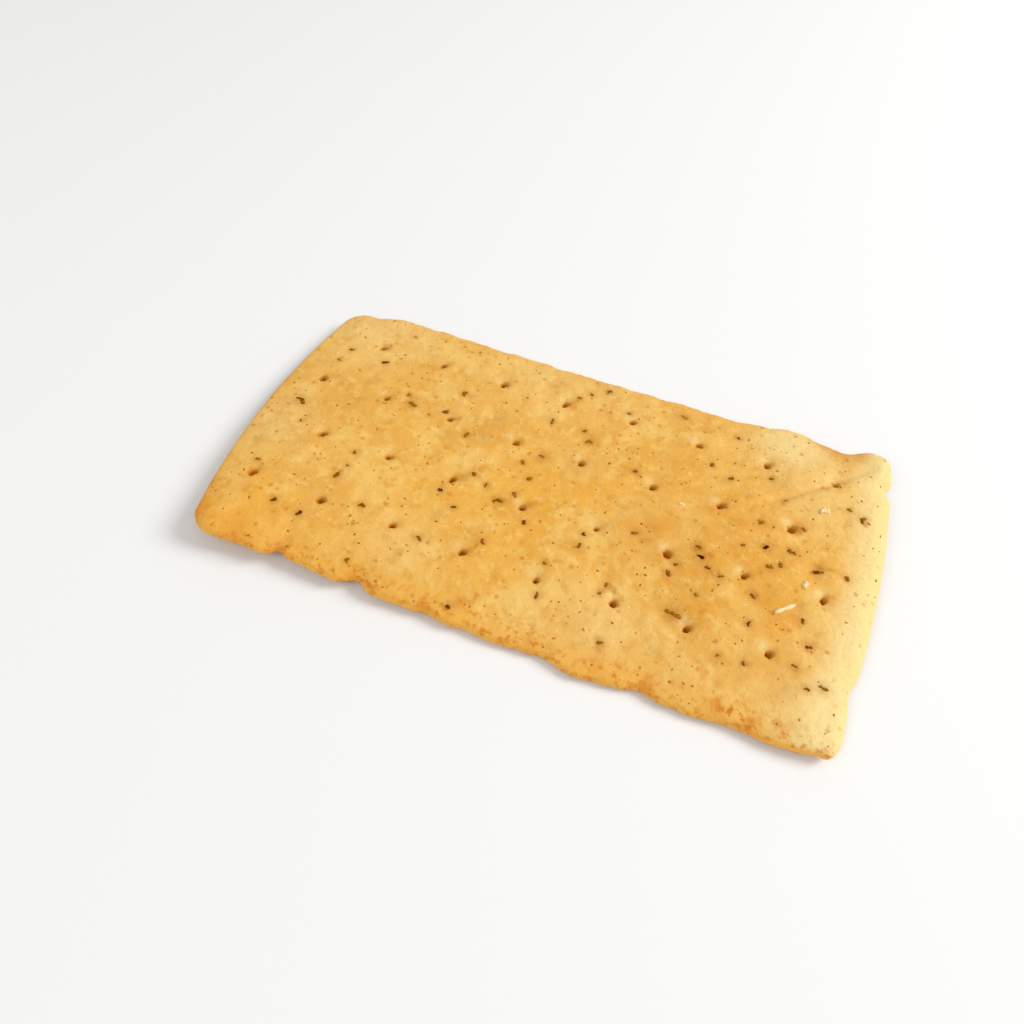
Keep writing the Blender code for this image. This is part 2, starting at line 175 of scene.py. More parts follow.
# Seeded round spots as (count, seed, radii, heights or strengths): domes that steam raised, small
# bubbles, burst ones, herbs buried under the surface and small embers
BLISTERS = (22, 5, (3.0, 6.5), (0.12, 0.38))
BUBBLES = (150, 6, (0.7, 2.2), (0.05, 0.16))
PORES = (260, 7, (0.16, 0.42), (0.08, 0.28))
BURIED_HERBS = (15, 41, (0.7, 1.6), (0.5, 1.0))
EMBERS = (46, 42, (0.4, 1.5), (0.3, 1.0))

# How far out they lie as shares of the length and the width, and how far each reaches in radii
SPOT_FIELD = (0.45, 0.42)
SPOT_REACH = 3.0

# Dock holes: staggered rows, half a pitch apart from row to row
HOLE_PITCH = 17.0
HOLE_STAGGER = 0.5
HOLE_ROWS = 4
HOLES_PER_ROW = 8
HOLE_GRID_X = -1.8
HOLE_GRID_Y = 1.6
HOLE_WANDER = 0.35
HOLE_SEED = 3
HOLE_CLEARANCE = 2.3
HOLE_FLOOR_RADIUS = 0.28
HOLE_SIZES = (0.82, 1.12)
HOLE_TURN = 45.0
HOLE_STRETCH = 1.22
HOLE_REACH = 7.0

# How unevenly a hole's mouth and marks run, as (cell, amount, seed)
HOLE_WAVER = (0.8, 0.34, 51)

# Dimple of a hole as (radius, depth), and its lip as (radius, half width, share of the dimple)
HOLE_DIMPLE = (2.1, 0.20)
HOLE_LIP = (2.3, 0.7, 0.5)

# Browned tail of a hole as (shift along its turn, half length, half width)
HOLE_TAIL = (0.9, 2.6, 1.5)

# Painted highlight beside a hole, where its raised lip would catch the light, as (x, y, radius),
# its strength in mid-length and its gain to the right
HOLE_HIGHLIGHT = (-1.5, 1.3, 1.25)
HOLE_HIGHLIGHT_STRENGTH = (0.72, 1.1)

# The grid is drawn in around each hole, so that its wall has enough faces
PINCH_RADIUS = 3.2
PINCH = 0.5

# Underside: marks of the docking pins as (sharpness, height), and grain as (cell, height, seed)
PIN_MARK = (0.35, 0.5)
UNDER_GRAIN = (1.3, 0.07, 61)

# Roughness of the torn walls: how far in it reaches, its cell, how it changes with the height
# and its seeds for the upper and the lower face
TEAR_REACH = 1.6
TEAR_CELL = 0.9
TEAR_CLIMB = 7.0
TEAR_SEEDS = (71, 72)

# Herb flecks: the largest listed one by one as (x, y, length, turn in degrees), the rest by a
# seeded rule
LARGE_FLECKS = (
    (32.3, -21.7, 3.5, -17.0),
    (-66.3, 0.7, 2.6, -33.0),
    (35.1, -5.6, 2.3, -15.0),
    (54.1, 3.1, 2.3, -13.0),
    (48.4, 2.4, 1.6, 45.0),
    (60.6, 0.1, 2.4, 10.0),
    (22.4, 35.4, 2.4, -29.0),
    (-41.7, 11.0, 2.1, -8.0),
    (-6.8, 8.4, 2.0, -13.0),
    (8.6, -12.9, 1.9, 71.0),
    (-12.2, -8.2, 2.1, 14.0),
    (64.8, -27.2, 2.0, -6.0),
    (-51.1, -29.4, 1.6, 50.0),
    (-39.6, -22.0, 1.6, 14.0),
    (-48.4, -16.6, 1.6, 68.0),
    (-25.9, 7.4, 1.6, 74.0),
    (3.8, -28.2, 1.5, 90.0),
    (-53.6, 21.4, 1.5, 30.0),
)
FLECK_COUNT = 64
FLECK_LENGTH = (0.8, 1.7)
FLECK_SLIMNESS = (0.36, 0.55)
FLECK_RISE = 0.12
FLECK_SPACING = 2.6
FLECK_RIM = 3.0
CRUMB_CLEARANCE = 3.6
FLECK_SEED = 8

# Herb flecks of the scene: how deep they sit, how they lean, how wide they are, and their height
# as (greatest width that counts, share of it)
FLECK_SUNK = 0.03
FLECK_ROLL = 0.3
FLECK_TILT = 0.1
FLECK_WIDENING = (1.3, 1.9)
FLECK_WIDEST = 1.2
FLECK_HEIGHT = (0.7, 0.7)

# Tints of the flecks, 0 for scorched and 1 for tan, and those of single flecks by their number
FLECK_TINT_RANGE = (0.10, 0.80)
FLECK_TINTS = {0: 0.7, 2: 0.0, 4: 0.0}

# Fragments of a herb bit, in shares of its length
FRAGMENT_ROUGHNESS = 0.28
FRAGMENT_LENGTH = (0.75, 1.25)
FRAGMENT_POWER = 0.7
FRAGMENT_WIDTH = (0.55, 1.05)
FRAGMENT_TURN = 0.5
FRAGMENT_ASIDE = 0.2
FRAGMENT_LEVEL = (-0.25, 0.1)

# Fragments of each shape of herb bit and of pale crumb, and the first seed of either kind
HERB_FRAGMENTS = (1, 2, 3, 1, 2, 3, 1, 2)
HERB_SHAPE_SEED = 80
CRUMB_FRAGMENTS = (4, 3, 2)
CRUMB_SHAPE_SEED = 95

# Shapes of strewn bits as (number, first seed, roughness), their sizes and their least spacing
SPECK_SHAPES = (5, 90, 0.22)
SPECK_SIZES = (0.30, 0.85)
SPECK_SPACING = 1.5
SPECK_DARKEST = 0.4
GRIT_SHAPES = (3, 99, 0.2)
GRIT_SIZES = (0.30, 0.7)
GRIT_SPACING = 3.0

# How far in from the rim they start, and the bounds of their turns and of their proportions
STREWN_RIM = 1.2
STREWN_TURNS = ((-0.3, -0.3, 0.0), (0.3, 0.3, 2.0 * math.pi))
STREWN_PROPORTIONS = ((0.8, 0.4, 0.3), (1.4, 0.9, 0.5))
LAST_PICK = 99

# Pale crumbs on the top as (x, y, length, width, turn in degrees)
CRUMBS = (
    (54.5, -11.9, 5.0, 1.3, 44.0),
    (58.1, -4.4, 1.9, 1.2, 80.0),
    (59.7, 17.5, 2.2, 1.6, 20.0),
    (27.7, 7.6, 1.2, 1.0, 0.0),
)
CRUMB_HEIGHT = 0.9

# Hot spots of the bake as (x, y, radius, strength)
HOT_SPOTS = (
    (61.0, 37.6, 3.0, 1.2),
    (53.3, -14.2, 2.2, 0.7),
    (57.0, -13.3, 1.5, 1.0),
    (57.6, -37.6, 1.1, 1.3),
    (38.0, -18.6, 1.2, 0.9),
    (57.5, 39.5, 1.6, 1.1),
    (66.0, 38.5, 1.8, 1.0),
    (-72.5, -29.0, 1.6, 0.8),
    (-71.5, -36.5, 2.6, 1.0),
    (-61.0, -40.0, 2.4, 0.8),
    (-51.0, -38.8, 1.8, 1.4),
    (-34.0, -38.2, 2.0, 1.0),
    (6.0, -38.5, 2.0, 0.8),
    (31.0, -38.6, 1.8, 1.1),
    (-17.3, -39.0, 1.7, 0.9),
    (-11.0, -35.7, 1.3, 1.1),
    (18.8, -20.5, 1.0, 0.8),
    (20.0, -38.2, 2.6, 0.7),
    (24.6, -36.7, 1.3, 0.9),
    (28.4, -29.1, 1.1, 0.6),
    (44.3, -33.7, 0.9, 0.9),
    (45.5, -38.4, 1.5, 1.2),
    (52.5, -39.2, 1.6, 0.9),
    (-22.9, -11.1, 0.9, 0.7),
    (50.3, 18.8, 1.0, 0.6),
)

# Broad tones of the bake as (x, y, radius, strength)
WARM_ZONES = (
    (8.0, -8.0, 34.0, 1.0),
    (50.0, 0.0, 14.0, 0.7),
    (55.0, -13.5, 4.5, 1.2),
    (-40.0, -8.0, 22.0, 0.4),
    (-66.0, -34.0, 13.0, 1.3),
)
# Fair zones: a paler bake, and partly painted light that lifts the shaded near edge and near right
# corner
FAIR_AND_LIT_ZONES = (
    (-60.0, 35.0, 14.0, 0.7),
    (-69.0, -8.0, 10.0, 0.5),
    (-28.0, -27.0, 8.0, 0.35),
    (-15.0, 36.0, 14.0, 0.35),
    (5.0, 36.0, 9.0, 0.25),
    (4.0, -37.0, 9.0, 0.3),
    (18.0, -28.0, 8.0, 0.6),
    (36.0, -37.0, 10.0, 0.25),
    (50.0, 37.0, 9.0, 1.9),
    (62.0, 22.0, 11.0, 0.4),
    (66.0, -36.5, 9.5, 1.7),
    (70.0, -14.0, 9.0, 0.6),
)
# Baked zones: toast, and partly painted shade, as in the shadowed patch around the hole at (54,
# -26)
BAKED_AND_SHADED_ZONES = (
    (-68.0, -36.0, 8.0, 0.5),
    (1.0, 9.0, 8.0, 0.7),
    (24.0, -2.0, 10.0, 1.2),
    (49.0, 20.0, 10.0, 0.4),
    (49.0, -13.0, 9.0, 0.45),
    (54.0, -26.0, 6.5, 1.0),
)

# Pale band of the fat end, partly a lighter bake and partly painted highlight, from full to none,
# and the other tones that follow the outline
FAT_END_PALE_AND_HIGHLIGHT = (4.0, 11.5)
THIN_END_REACH = 2.5
EDGE_REACH = 4.2
WALL_REACH = 0.5
NEAR_SIDE_START = 5.0
FAR_SIDE_SHARE = 0.35

# Halo of a fleck as (radius, gain with its length), toast of a bubble as (share of its radius,
# share of its height), and cream of every third pore as (share of its radius, strength)
STAIN_RADIUS = (0.5, 0.55)
BUBBLE_TOAST = (0.8, 6.0)
PORE_CREAM = (1.6, 0.8)
PORE_CREAM_STEP = 3

# Cloudy noises as (detail, roughness), and grain: the scale of its wide part and the height of
# its fine part as shares, and the range of its tones
CLOUDY = (4.0, 0.6)
SOFT = (3.0, 0.5)
GRAIN_WIDE = 0.35
GRAIN_FINE = 0.45
GRAIN_TONES = (0.3, 0.7)

# Specks in a surface: how full their middles are, and their strengths as (least, gain)
SPECK_CORE = 1.8
SPECK_STRENGTH = (0.25, 0.75)

# Mottling as (scale, low, high), and specks of the crust as (scale, size, share)
HERB_MOTTLE = (900.0, 0.35, 0.65)
CRUST_MOTTLES = {
    "broad": (42.0, 0.40, 0.66),
    "patch": (110.0, 0.45, 0.66),
    "cloud": (185.0, 0.44, 0.66),
    "freckle": (300.0, 0.52, 0.70),
    "flour": (430.0, 0.50, 0.68),
    "dab": (640.0, 0.50, 0.64),
}
CRUST_SPECKS = {
    "dust": (700.0, 0.26, 0.12),
    "speck": (480.0, 0.34, 0.22),
}

# How unevenly tones soak in, as (gain with the freckles, least), and how dabs gather
BLOTCH = (0.8, 0.35)
SOAK = (0.6, 0.60)
DAB_LEAST = 0.6
PIT_GAIN = 2.0

# Tones of the crust in the order in which they are laid, as (mask, tone, strength)
CRUST_LAYS = (
    ("warm", "honey", 0.80),
    # Fair zones: paler bake, partly painted light
    ("fair_and_lit", "pale", 0.50),
    ("broad", "toasted", 0.44),
    ("cloud", "toasted", 0.26),
    ("patch", "light", 0.80),
    ("freckle", "toasted", 0.68),
    ("flour", "light", 0.60),
    # Baked zones: toast, partly painted shade
    ("baked", "toasted", 0.50),
    ("toast", "toasted", 0.20),
    ("thin_end", "honey", 0.30),
    ("cream", "pale", 0.35),
    ("edge", "honey", 0.50),
    # Fair zones again: paler bake, partly painted light
    ("fair_and_lit", "pale", 0.34),
    # Pale band of the fat end: lighter bake and painted highlight
    ("fat_end_pale_and_highlight", "pale", 0.90),
    ("edge_dabs", "edge", 0.95),
    # Painted light on the shaded torn walls, in the torn tone
    ("lit_torn_wall", "torn", 0.80),
    ("wall_dabs", "edge", 0.90),
    ("ember", "edge", 0.50),
    ("hot", "edge", 0.80),
    # Painted highlight beside each dock hole, in the pale tone
    ("hole_highlight", "pale", 0.62),
    ("buried", "buried", 0.42),
    ("speck", "speck", 0.62),
    ("under", "brown", 0.55),
    ("grain", "toasted", 0.14),
    ("stain", "brown", 0.85),
    ("tail", "tail", 0.62),
    ("dust", "dust", 0.85),
    ("pit", "pit", 0.95),
)

# Grain scales, and relief of the surfaces as (strength, distance in metres)
CRUST_GRAIN = 1500.0
HERB_GRAIN = 4000.0
CRUMB_GRAIN = 3000.0
CRUST_BUMP = (0.85, 0.00025)
HERB_BUMP = (0.6, 0.00008)
CRUMB_BUMP = (0.5, 0.00008)
FLOUR_HEIGHT = 0.35

# Roughness of the crust as (least, gain with the grain) and without its grain, its faint oily
# sheen, and how matt the rest is
CRUST_ROUGHNESS = (0.52, 0.14)
CRUST_PLAIN_ROUGHNESS = 0.6
CRUST_SHEEN = 0.16
HERB_ROUGHNESS = 0.85
CRUMB_ROUGHNESS = 0.7
FLOOR_ROUGHNESS = 0.9
FLOOR_SHEEN = 0.1

# Tints over which a herb bit turns to brown, to olive and to tan, and crust clings to dark ones
TO_BROWN = (0.08, 0.3)
TO_OLIVE = (0.5, 0.7)
TO_TAN = (0.75, 0.95)
CLINGING = (0.0, 0.25)
CLINGING_SHARE = 0.5

# Steps of the slab's mesh close to the rim
RIM_STEPS = (0.0, 0.14, 0.32, 0.58, 0.92)
RIM_BAND = 0.3

# Cells along each side of the lattices that coarse and fine noise are drawn from
COARSE_LATTICE = 64
LATTICE = 256

# The floor lies a hair below the part, so that their faces don't share a plane
FLOOR_GAP = 0.02

# The view of the photograph, worked out from the grid of dock holes, in millimetres
CAMERA_PLACE = (15.85, -117.17, 155.32)
CAMERA_RIGHT = (0.93996, 0.33062, 0.08463)
CAMERA_DOWN = (0.31588, -0.74899, -0.58244)
CAMERA_LENS = 28.93
CAMERA_SENSOR = 36.0
CAMERA_NEAREST = 10.0

# Stage, in metres: half the floor's side, its clouds as (scale, detail, roughness) and how dim
# they are, and the lights as (place, width)
FLOOR_HALF = 4.0
FLOOR_CLOUDS = (3.0, 2.0, 0.55)
FLOOR_DIMMING = 0.985
KEY_LIGHT = ((0.95, 0.45, 0.85), 0.7)
FILL_LIGHT = ((-0.5, -0.9, 1.1), 0.9)


def smooth_step(value, low, high):
    """Rise from 0 at low to 1 at high with a soft start and end."""
    ratio = np.clip((value - low) / (high - low), 0.0, 1.0)
    return ratio * ratio * (3.0 - 2.0 * ratio)


def soft_noise(x, y, cell, seed, size=COARSE_LATTICE):
    """Smooth random relief between -1 and 1 with bumps about one cell wide."""
    lattice = np.random.default_rng(seed).uniform(-1.0, 1.0, (size, size))
    column = x / cell + size / 2
    row = y / cell + size / 2
    left = np.floor(column).astype(int)
    low = np.floor(row).astype(int)
    across = smooth_step(column - left, 0.0, 1.0)
    up = smooth_step(row - low, 0.0, 1.0)
    left, right = left % size, (left + 1) % size
    low, high = low % size, (low + 1) % size
    bottom = lattice[low, left] * (1.0 - across) + lattice[low, right] * across
    top = lattice[high, left] * (1.0 - across) + lattice[high, right] * across
    return bottom * (1.0 - up) + top * up


def bite_depth(along, bites):
    """How far an edge is bitten in at a place along it."""
    depth = np.zeros_like(along)
    for place, half_width, inwards in bites:
        depth = depth + inwards * np.exp(-((along - place) / half_width) ** 2)
    return depth


def left_end(y):
    """X of the thin short end at a height Y of the outline."""
    s = y / (WIDTH / 2)
    return LEFT_CREST + LEFT_LEAN * s + LEFT_BULGE * s * s


def right_end(y):
    """X of the fat short end at a height Y of the outline."""
    s = y / (WIDTH / 2)
    return RIGHT_CREST + RIGHT_LEAN * s - RIGHT_BULGE * s * s - bite_depth(y, RIGHT_BITES)


def torn_line(x, seed):
    """Uneven tear of a long edge, coarse as in the solid and fine on top."""
    ragged = TORN_RAGGEDNESS * soft_noise(x, 0.0 * x, TORN_CELL, seed)
    for cell, amount, shift in TORN_FINE:
        ragged = ragged + amount * soft_noise(x, 0.0 * x, cell, seed + shift, LATTICE)
    return ragged


def far_edge(x):
    """Y of the far long edge."""
    return FAR_EDGE - bite_depth(x, FAR_BITES) + torn_line(x, FAR_SEED)


def near_edge(x):
    """Y of the near long edge."""
    return NEAR_EDGE + bite_depth(x, NEAR_BITES) + torn_line(x, NEAR_SEED)


def corner_radius(x, y):
    """Radius of the corner that a point is nearest to."""
    far = np.where(x < 0.0, FAR_LEFT_RADIUS, FAR_RIGHT_RADIUS)
    near = np.where(x < 0.0, NEAR_LEFT_RADIUS, NEAR_RIGHT_RADIUS)
    return np.where(y > 0.0, far, near)


def edge_gaps(x, y):
    """Distances inwards from the nearer short end and from the nearer long edge."""
    end_gap = np.minimum(x - left_end(y), right_end(y) - x)
    side_gap = np.minimum(far_edge(x) - y, y - near_edge(x))
    return end_gap, side_gap


def rim_distance(x, y):
    """Distance inwards from the outline, with its corners rounded."""
    end_gap, side_gap = edge_gaps(x, y)
    radius = corner_radius(x, y)
    from_end = np.maximum(radius - end_gap, 0.0)
    from_side = np.maximum(radius - side_gap, 0.0)
    in_corner = (from_end > 0.0) & (from_side > 0.0)
    rounded = radius - np.hypot(from_end, from_side)
    return np.where(in_corner, rounded, np.minimum(end_gap, side_gap))


def pull_into_corners(x, y):
    """Move points of the corner regions inwards, so that the square corners become round."""
    end_gap, side_gap = edge_gaps(x, y)
    radius = corner_radius(x, y)
    p = np.clip(1.0 - end_gap / radius, 0.0, None)
    q = np.clip(1.0 - side_gap / radius, 0.0, None)
    span = np.maximum(np.hypot(p, q), 1e-9)
    shrink = np.maximum(p, q) / span
    inwards_x = np.where(p * q > 0.0, p * (1.0 - shrink) * radius, 0.0)
    inwards_y = np.where(p * q > 0.0, q * (1.0 - shrink) * radius, 0.0)
    return x - np.sign(x) * inwards_x, y - np.sign(y) * inwards_y


def plan(u, v):
    """Place of a grid point: a plain rectangle inside, the real outline at the rim."""
    weight_u = np.clip((np.abs(u) - 1.0 + RIM_BAND) / RIM_BAND, 0.0, 1.0) ** 2
    weight_v = np.clip((np.abs(v) - 1.0 + RIM_BAND) / RIM_BAND, 0.0, 1.0) ** 2
    x = u * LENGTH / 2
    y = v * WIDTH / 2
    x = x + np.where(u > 0.0, right_end(y) - LENGTH / 2, left_end(y) + LENGTH / 2) * weight_u
    y = y + np.where(v > 0.0, far_edge(x) - WIDTH / 2, near_edge(x) + WIDTH / 2) * weight_v
    return pull_into_corners(x, y)


def bow(x, y):
    """Height of the bowed slab's underside before it is pressed flat on the table."""
    s = x / (LENGTH / 2)
    t = y / (WIDTH / 2)
    return END_LIFT * s * s + CORNER_TWIST * s * t + SIDE_LIFT * t * t - FLAT_DEPTH


def table_contact(x, y):
    """Share from 0 to 1 by which the underside comes down to the table."""
    down = 1.0 - smooth_step(np.hypot(x, y), PAD_FLAT_RADIUS, PAD_OUTER_RADIUS)
    for place_x, place_y in LOW_SPOTS:
        apart = np.hypot(x - place_x, y - place_y)
        down = np.maximum(down, 1.0 - smooth_step(apart, 0.0, LOW_SPOT_RADIUS))
    return down


def slab_thickness(x, rim):
    """Thickness of the slab, less towards its edges and more at the fat end."""
    fat = smooth_step(x, FAT_END_START, LENGTH / 2)
    edge = LONG_EDGE_THICKNESS + (FAT_END_THICKNESS - LONG_EDGE_THICKNESS) * fat
    return edge + (THICKNESS - edge) * (1.0 - np.exp(-np.maximum(rim, 0.0) / THICKENING))


def spots(count, seed, radii, amounts):
    """Seeded round spots of the top as (x, y, radius, amount)."""
    draw = np.random.default_rng(seed)
    for _ in range(count):
        x = draw.uniform(-SPOT_FIELD[0], SPOT_FIELD[0]) * LENGTH
        y = draw.uniform(-SPOT_FIELD[1], SPOT_FIELD[1]) * WIDTH
        radius = draw.uniform(*radii)
        amount = draw.uniform(*amounts)
        yield x, y, radius, amount


def spread_spots(x, y, places):
    """Sum of soft round spots over the whole top."""
    total = np.zeros_like(x)
    for place_x, place_y, radius, amount in places:
        reach = SPOT_REACH * radius
        near = (np.abs(x - place_x) < reach) & (np.abs(y - place_y) < reach)
        apart = np.hypot(x[near] - place_x, y[near] - place_y) / radius
        total[near] += amount * np.exp(-apart ** 2)
    return total


def crease(x, y, start_x, start_y, end_x, end_y, half_width, depth):
    """Depth of a soft groove along a straight line."""
    run_x, run_y = end_x - start_x, end_y - start_y
    length = math.hypot(run_x, run_y)
    along = ((x - start_x) * run_x + (y - start_y) * run_y) / length
    past = np.maximum(np.maximum(-along, along - length), 0.0)
    aside = ((x - start_x) * run_y - (y - start_y) * run_x) / length
    fade = CREASE_FADE * half_width
    return depth * np.exp(-(aside / half_width) ** 2 - (past / fade) ** 2)


def coarse_relief(x, y):
    """Swells, blisters and creases of the top face, as in the solid."""
    height = spread_spots(x, y, [PUFFED_CORNER, *spots(*BLISTERS)])
    for cell, amount, seed in SWELLS:
        height = height + amount * soft_noise(x, y, cell, seed)
    for line in CREASES:
        height = height - crease(x, y, *line)
    return height


def fine_relief(x, y):
    """Bubbles, pores and the small unevenness of a baked crust."""
    height = spread_spots(x, y, spots(*BUBBLES)) - spread_spots(x, y, spots(*PORES))
    for cell, amount, seed in FINE_SWELLS:
        height = height + amount * soft_noise(x, y, cell, seed, LATTICE)
    return height


def hole_places():
    """Centres of the dock holes, each a little off its place in the staggered rows."""
    draw = np.random.default_rng(HOLE_SEED)
    places = []
    for row in range(HOLE_ROWS):
        stagger = HOLE_STAGGER if row % 2 == 0 else 0.0
        for column in range(HOLES_PER_ROW):
            step = column + stagger + (HOLE_STAGGER - HOLES_PER_ROW) / 2
            x = step * HOLE_PITCH + HOLE_GRID_X
            y = ((HOLE_ROWS - 1) / 2 - row) * HOLE_PITCH + HOLE_GRID_Y
            wander = draw.normal(0.0, HOLE_WANDER, 2)
            places.append((x + wander[0], y + wander[1]))
    return places


def pinch_grid(x, y):
    """Draw the grid in around each dock hole, so that its wall has enough faces."""
    moved_x, moved_y = x.copy(), y.copy()
    for place_x, place_y in hole_places():
        apart = np.hypot(x - place_x, y - place_y) / PINCH_RADIUS
        near = apart < 1.0
        pull = PINCH * (1.0 - apart[near] ** 2) ** 2
        moved_x[near] -= (x[near] - place_x) * pull
        moved_y[near] -= (y[near] - place_y) * pull
    return moved_x, moved_y


def hole_shape(x, y, radius):
    """Depth share of the dock holes, from 0 to 1, their dimples, tails and the painted highlights
    beside them.
    """
    down = np.zeros_like(x)
    dimple = np.zeros_like(x)
    tail = np.zeros_like(x)
    fair_and_lit = np.zeros_like(x)
    draw = np.random.default_rng(HOLE_SEED)
    turn = math.radians(HOLE_TURN)
    cell, waver, seed = HOLE_WAVER
    for place_x, place_y in hole_places():
        own = draw.uniform(*HOLE_SIZES)
        near = (np.abs(x - place_x) < HOLE_REACH) & (np.abs(y - place_y) < HOLE_REACH)
        across = x[near] - place_x
        up = y[near] - place_y
        along = across * math.cos(turn) + up * math.sin(turn)
        aside = up * math.cos(turn) - across * math.sin(turn)
        uneven = 1.0 + waver * soft_noise(x[near], y[near], cell, seed, LATTICE)
        apart = np.hypot(along / (HOLE_STRETCH * own), aside / own) * uneven
        down[near] = np.maximum(down[near], 1.0 - smooth_step(apart, HOLE_FLOOR_RADIUS, radius))
        ring = np.hypot(across, up)
        dimple[near] += np.exp(-(ring / HOLE_DIMPLE[0]) ** 2)
        dimple[near] -= HOLE_LIP[2] * np.exp(-((ring - HOLE_LIP[0]) / HOLE_LIP[1]) ** 2)
        behind = np.hypot((along - HOLE_TAIL[0]) / HOLE_TAIL[1], aside / HOLE_TAIL[2])
        tail[near] += np.exp(-(behind * uneven) ** 2)
        # Painted highlight beside the hole, where its lip would catch the light
        beside = np.hypot(across - HOLE_HIGHLIGHT[0], up - HOLE_HIGHLIGHT[1]) / HOLE_HIGHLIGHT[2]
        strength = HOLE_HIGHLIGHT_STRENGTH[0] + HOLE_HIGHLIGHT_STRENGTH[1] * place_x / LENGTH
        fair_and_lit[near] += strength * np.exp(-(beside * uneven) ** 2)
    return down, dimple, tail, fair_and_lit


def faces_at(x, y):
    """Heights of the plain top face and underside, as in the solid, and the rim distance."""
    rim = np.maximum(rim_distance(x, y), LEAST_RIM)
    end_gap, side_gap = edge_gaps(x, y)
    end_gap = np.maximum(end_gap, LEAST_RIM)
    side_gap = np.maximum(side_gap, LEAST_RIM)
    near_end = side_gap / (end_gap + side_gap)
    end_nose = np.where(x > 0.0, RIGHT_NOSE, LEFT_NOSE)
    nose = TORN_NOSE + (end_nose - TORN_NOSE) * near_end
    lift = bow(x, y) + TABLE_GAP
    fade = np.clip(rim / RELIEF_FADE, 0.0, 1.0)
    top = lift + slab_thickness(x, rim) + coarse_relief(x, y) * fade
    under = np.maximum(lift, TABLE_GAP) * (1.0 - table_contact(x, y))
    middle = under + RIM_HEIGHT * (top - under)
    top_round = np.sqrt(1.0 - (1.0 - np.clip(rim / nose, 0.0, 1.0)) ** 2)
    under_round = np.sqrt(1.0 - (1.0 - np.clip(rim / UNDER_NOSE, 0.0, 1.0)) ** 2)
    top = middle + (top - middle) * top_round
    under = middle - (middle - under) * under_round
    return top, under, rim, near_end


def top_height(x, y):
    """Height of the finished top face at one point."""
    place_x, place_y = np.array([x]), np.array([y])
    return float((faces_at(place_x, place_y)[0] + fine_relief(place_x, place_y))[0])


def clear_of(x, y, places, least):
    """Whether a point keeps its distance from every place."""
    return min(math.hypot(x - place[0], y - place[1]) for place in places) >= least


def fleck_places():
    """Places, lengths, slimness and turns of the herb flecks, clear of holes and each other."""
    draw = np.random.default_rng(FLECK_SEED)
    holes = hole_places()
    flecks = []
    for x, y, length, turn in LARGE_FLECKS:
        flecks.append((x, y, length, FLECK_SLIMNESS[0], turn))
    wanted = len(LARGE_FLECKS) + FLECK_COUNT
    while len(flecks) < wanted:
        x = draw.uniform(-LENGTH / 2, LENGTH / 2)
        y = draw.uniform(-WIDTH / 2, WIDTH / 2)
        length = draw.uniform(*FLECK_LENGTH)
        slimness = draw.uniform(*FLECK_SLIMNESS)
        turn = draw.uniform(0.0, 180.0)
        inside = rim_distance(np.array([x]), np.array([y]))[0] >= FLECK_RIM
        if (inside and clear_of(x, y, holes, HOLE_CLEARANCE)
                and clear_of(x, y, flecks, FLECK_SPACING)
                and clear_of(x, y, CRUMBS, CRUMB_CLEARANCE)):
            flecks.append((x, y, length, slimness, turn))
    return flecks


def even_steps(half_size, spacing):
    """Positions from -1 to 1 with an even number of steps, close together at both rims."""
    rim = [1.0 - step / half_size for step in RIM_STEPS]
    count = 2 * round((half_size - RIM_STEPS[-1]) / spacing)
    middle = np.linspace(-rim[-1], rim[-1], count + 1)[1:-1]
    return np.concatenate([-np.array(rim), middle, np.array(rim[::-1])])


def under_ring(row, column, last_row, last_column):
    """Corners of one double-step cell of the underside, with the rim's points between them."""
    ring = [(row, column)]
    if column == 0:
        ring.append((row + 1, column))
    ring.append((row + 2, column))
    if row + 2 == last_row:
        ring.append((row + 2, column + 1))
    ring.append((row + 2, column + 2))
    if column + 2 == last_column:
        ring.append((row + 1, column + 2))
    ring.append((row, column + 2))
    if row == 0:
        ring.append((row, column + 1))
    return ring


def store(mesh, name, values):
    """Keep one number for each vertex under a name that the materials read."""
    layer = mesh.attributes.new(name, "FLOAT", "POINT")
    layer.data.foreach_set("value", np.asarray(values, dtype=np.float32))


def plan_grid(settings):
    """Places of the slab's grid points, and the middle of its outline, which is the origin."""
    spacing = settings.step / MM
    u, v = np.meshgrid(even_steps(LENGTH / 2, spacing), even_steps(WIDTH / 2, spacing))
    x, y = plan(u, v)
    return x, y, (x.min() + x.max()) / 2, (y.min() + y.max()) / 2


def under_relief(x, y, down):
    """Grain of the underside and the marks of the docking pins in it."""
    marks = np.exp(-((1.0 - down) / PIN_MARK[0]) ** 2) * (down > 0.0)
    cell, height, seed = UNDER_GRAIN
    grain = np.maximum(soft_noise(x, y, cell, seed, LATTICE), 0.0) * height
    return grain + PIN_MARK[1] * marks


def torn_shift(x, y, z, side, seed):
    """How far the torn walls stand out or in at a height."""
    return side * soft_noise(x, y + TEAR_CLIMB * z, TEAR_CELL, seed, LATTICE)


def slab_faces(rows, columns, lower_index):
    """Faces of the top, one for each cell, and of the underside, one for each four cells."""
    upper_index = np.arange(rows * columns).reshape(rows, columns)
    quads = np.stack([
        upper_index[:-1, :-1], upper_index[:-1, 1:], upper_index[1:, 1:], upper_index[1:, :-1],
    ], axis=-1).reshape(-1, 4)
    faces = quads.tolist()
    for row in range(0, rows - 1, 2):
        for column in range(0, columns - 1, 2):
            ring = under_ring(row, column, rows - 1, columns - 1)
            faces.append([int(lower_index[r, c]) for r, c in ring])
    return faces


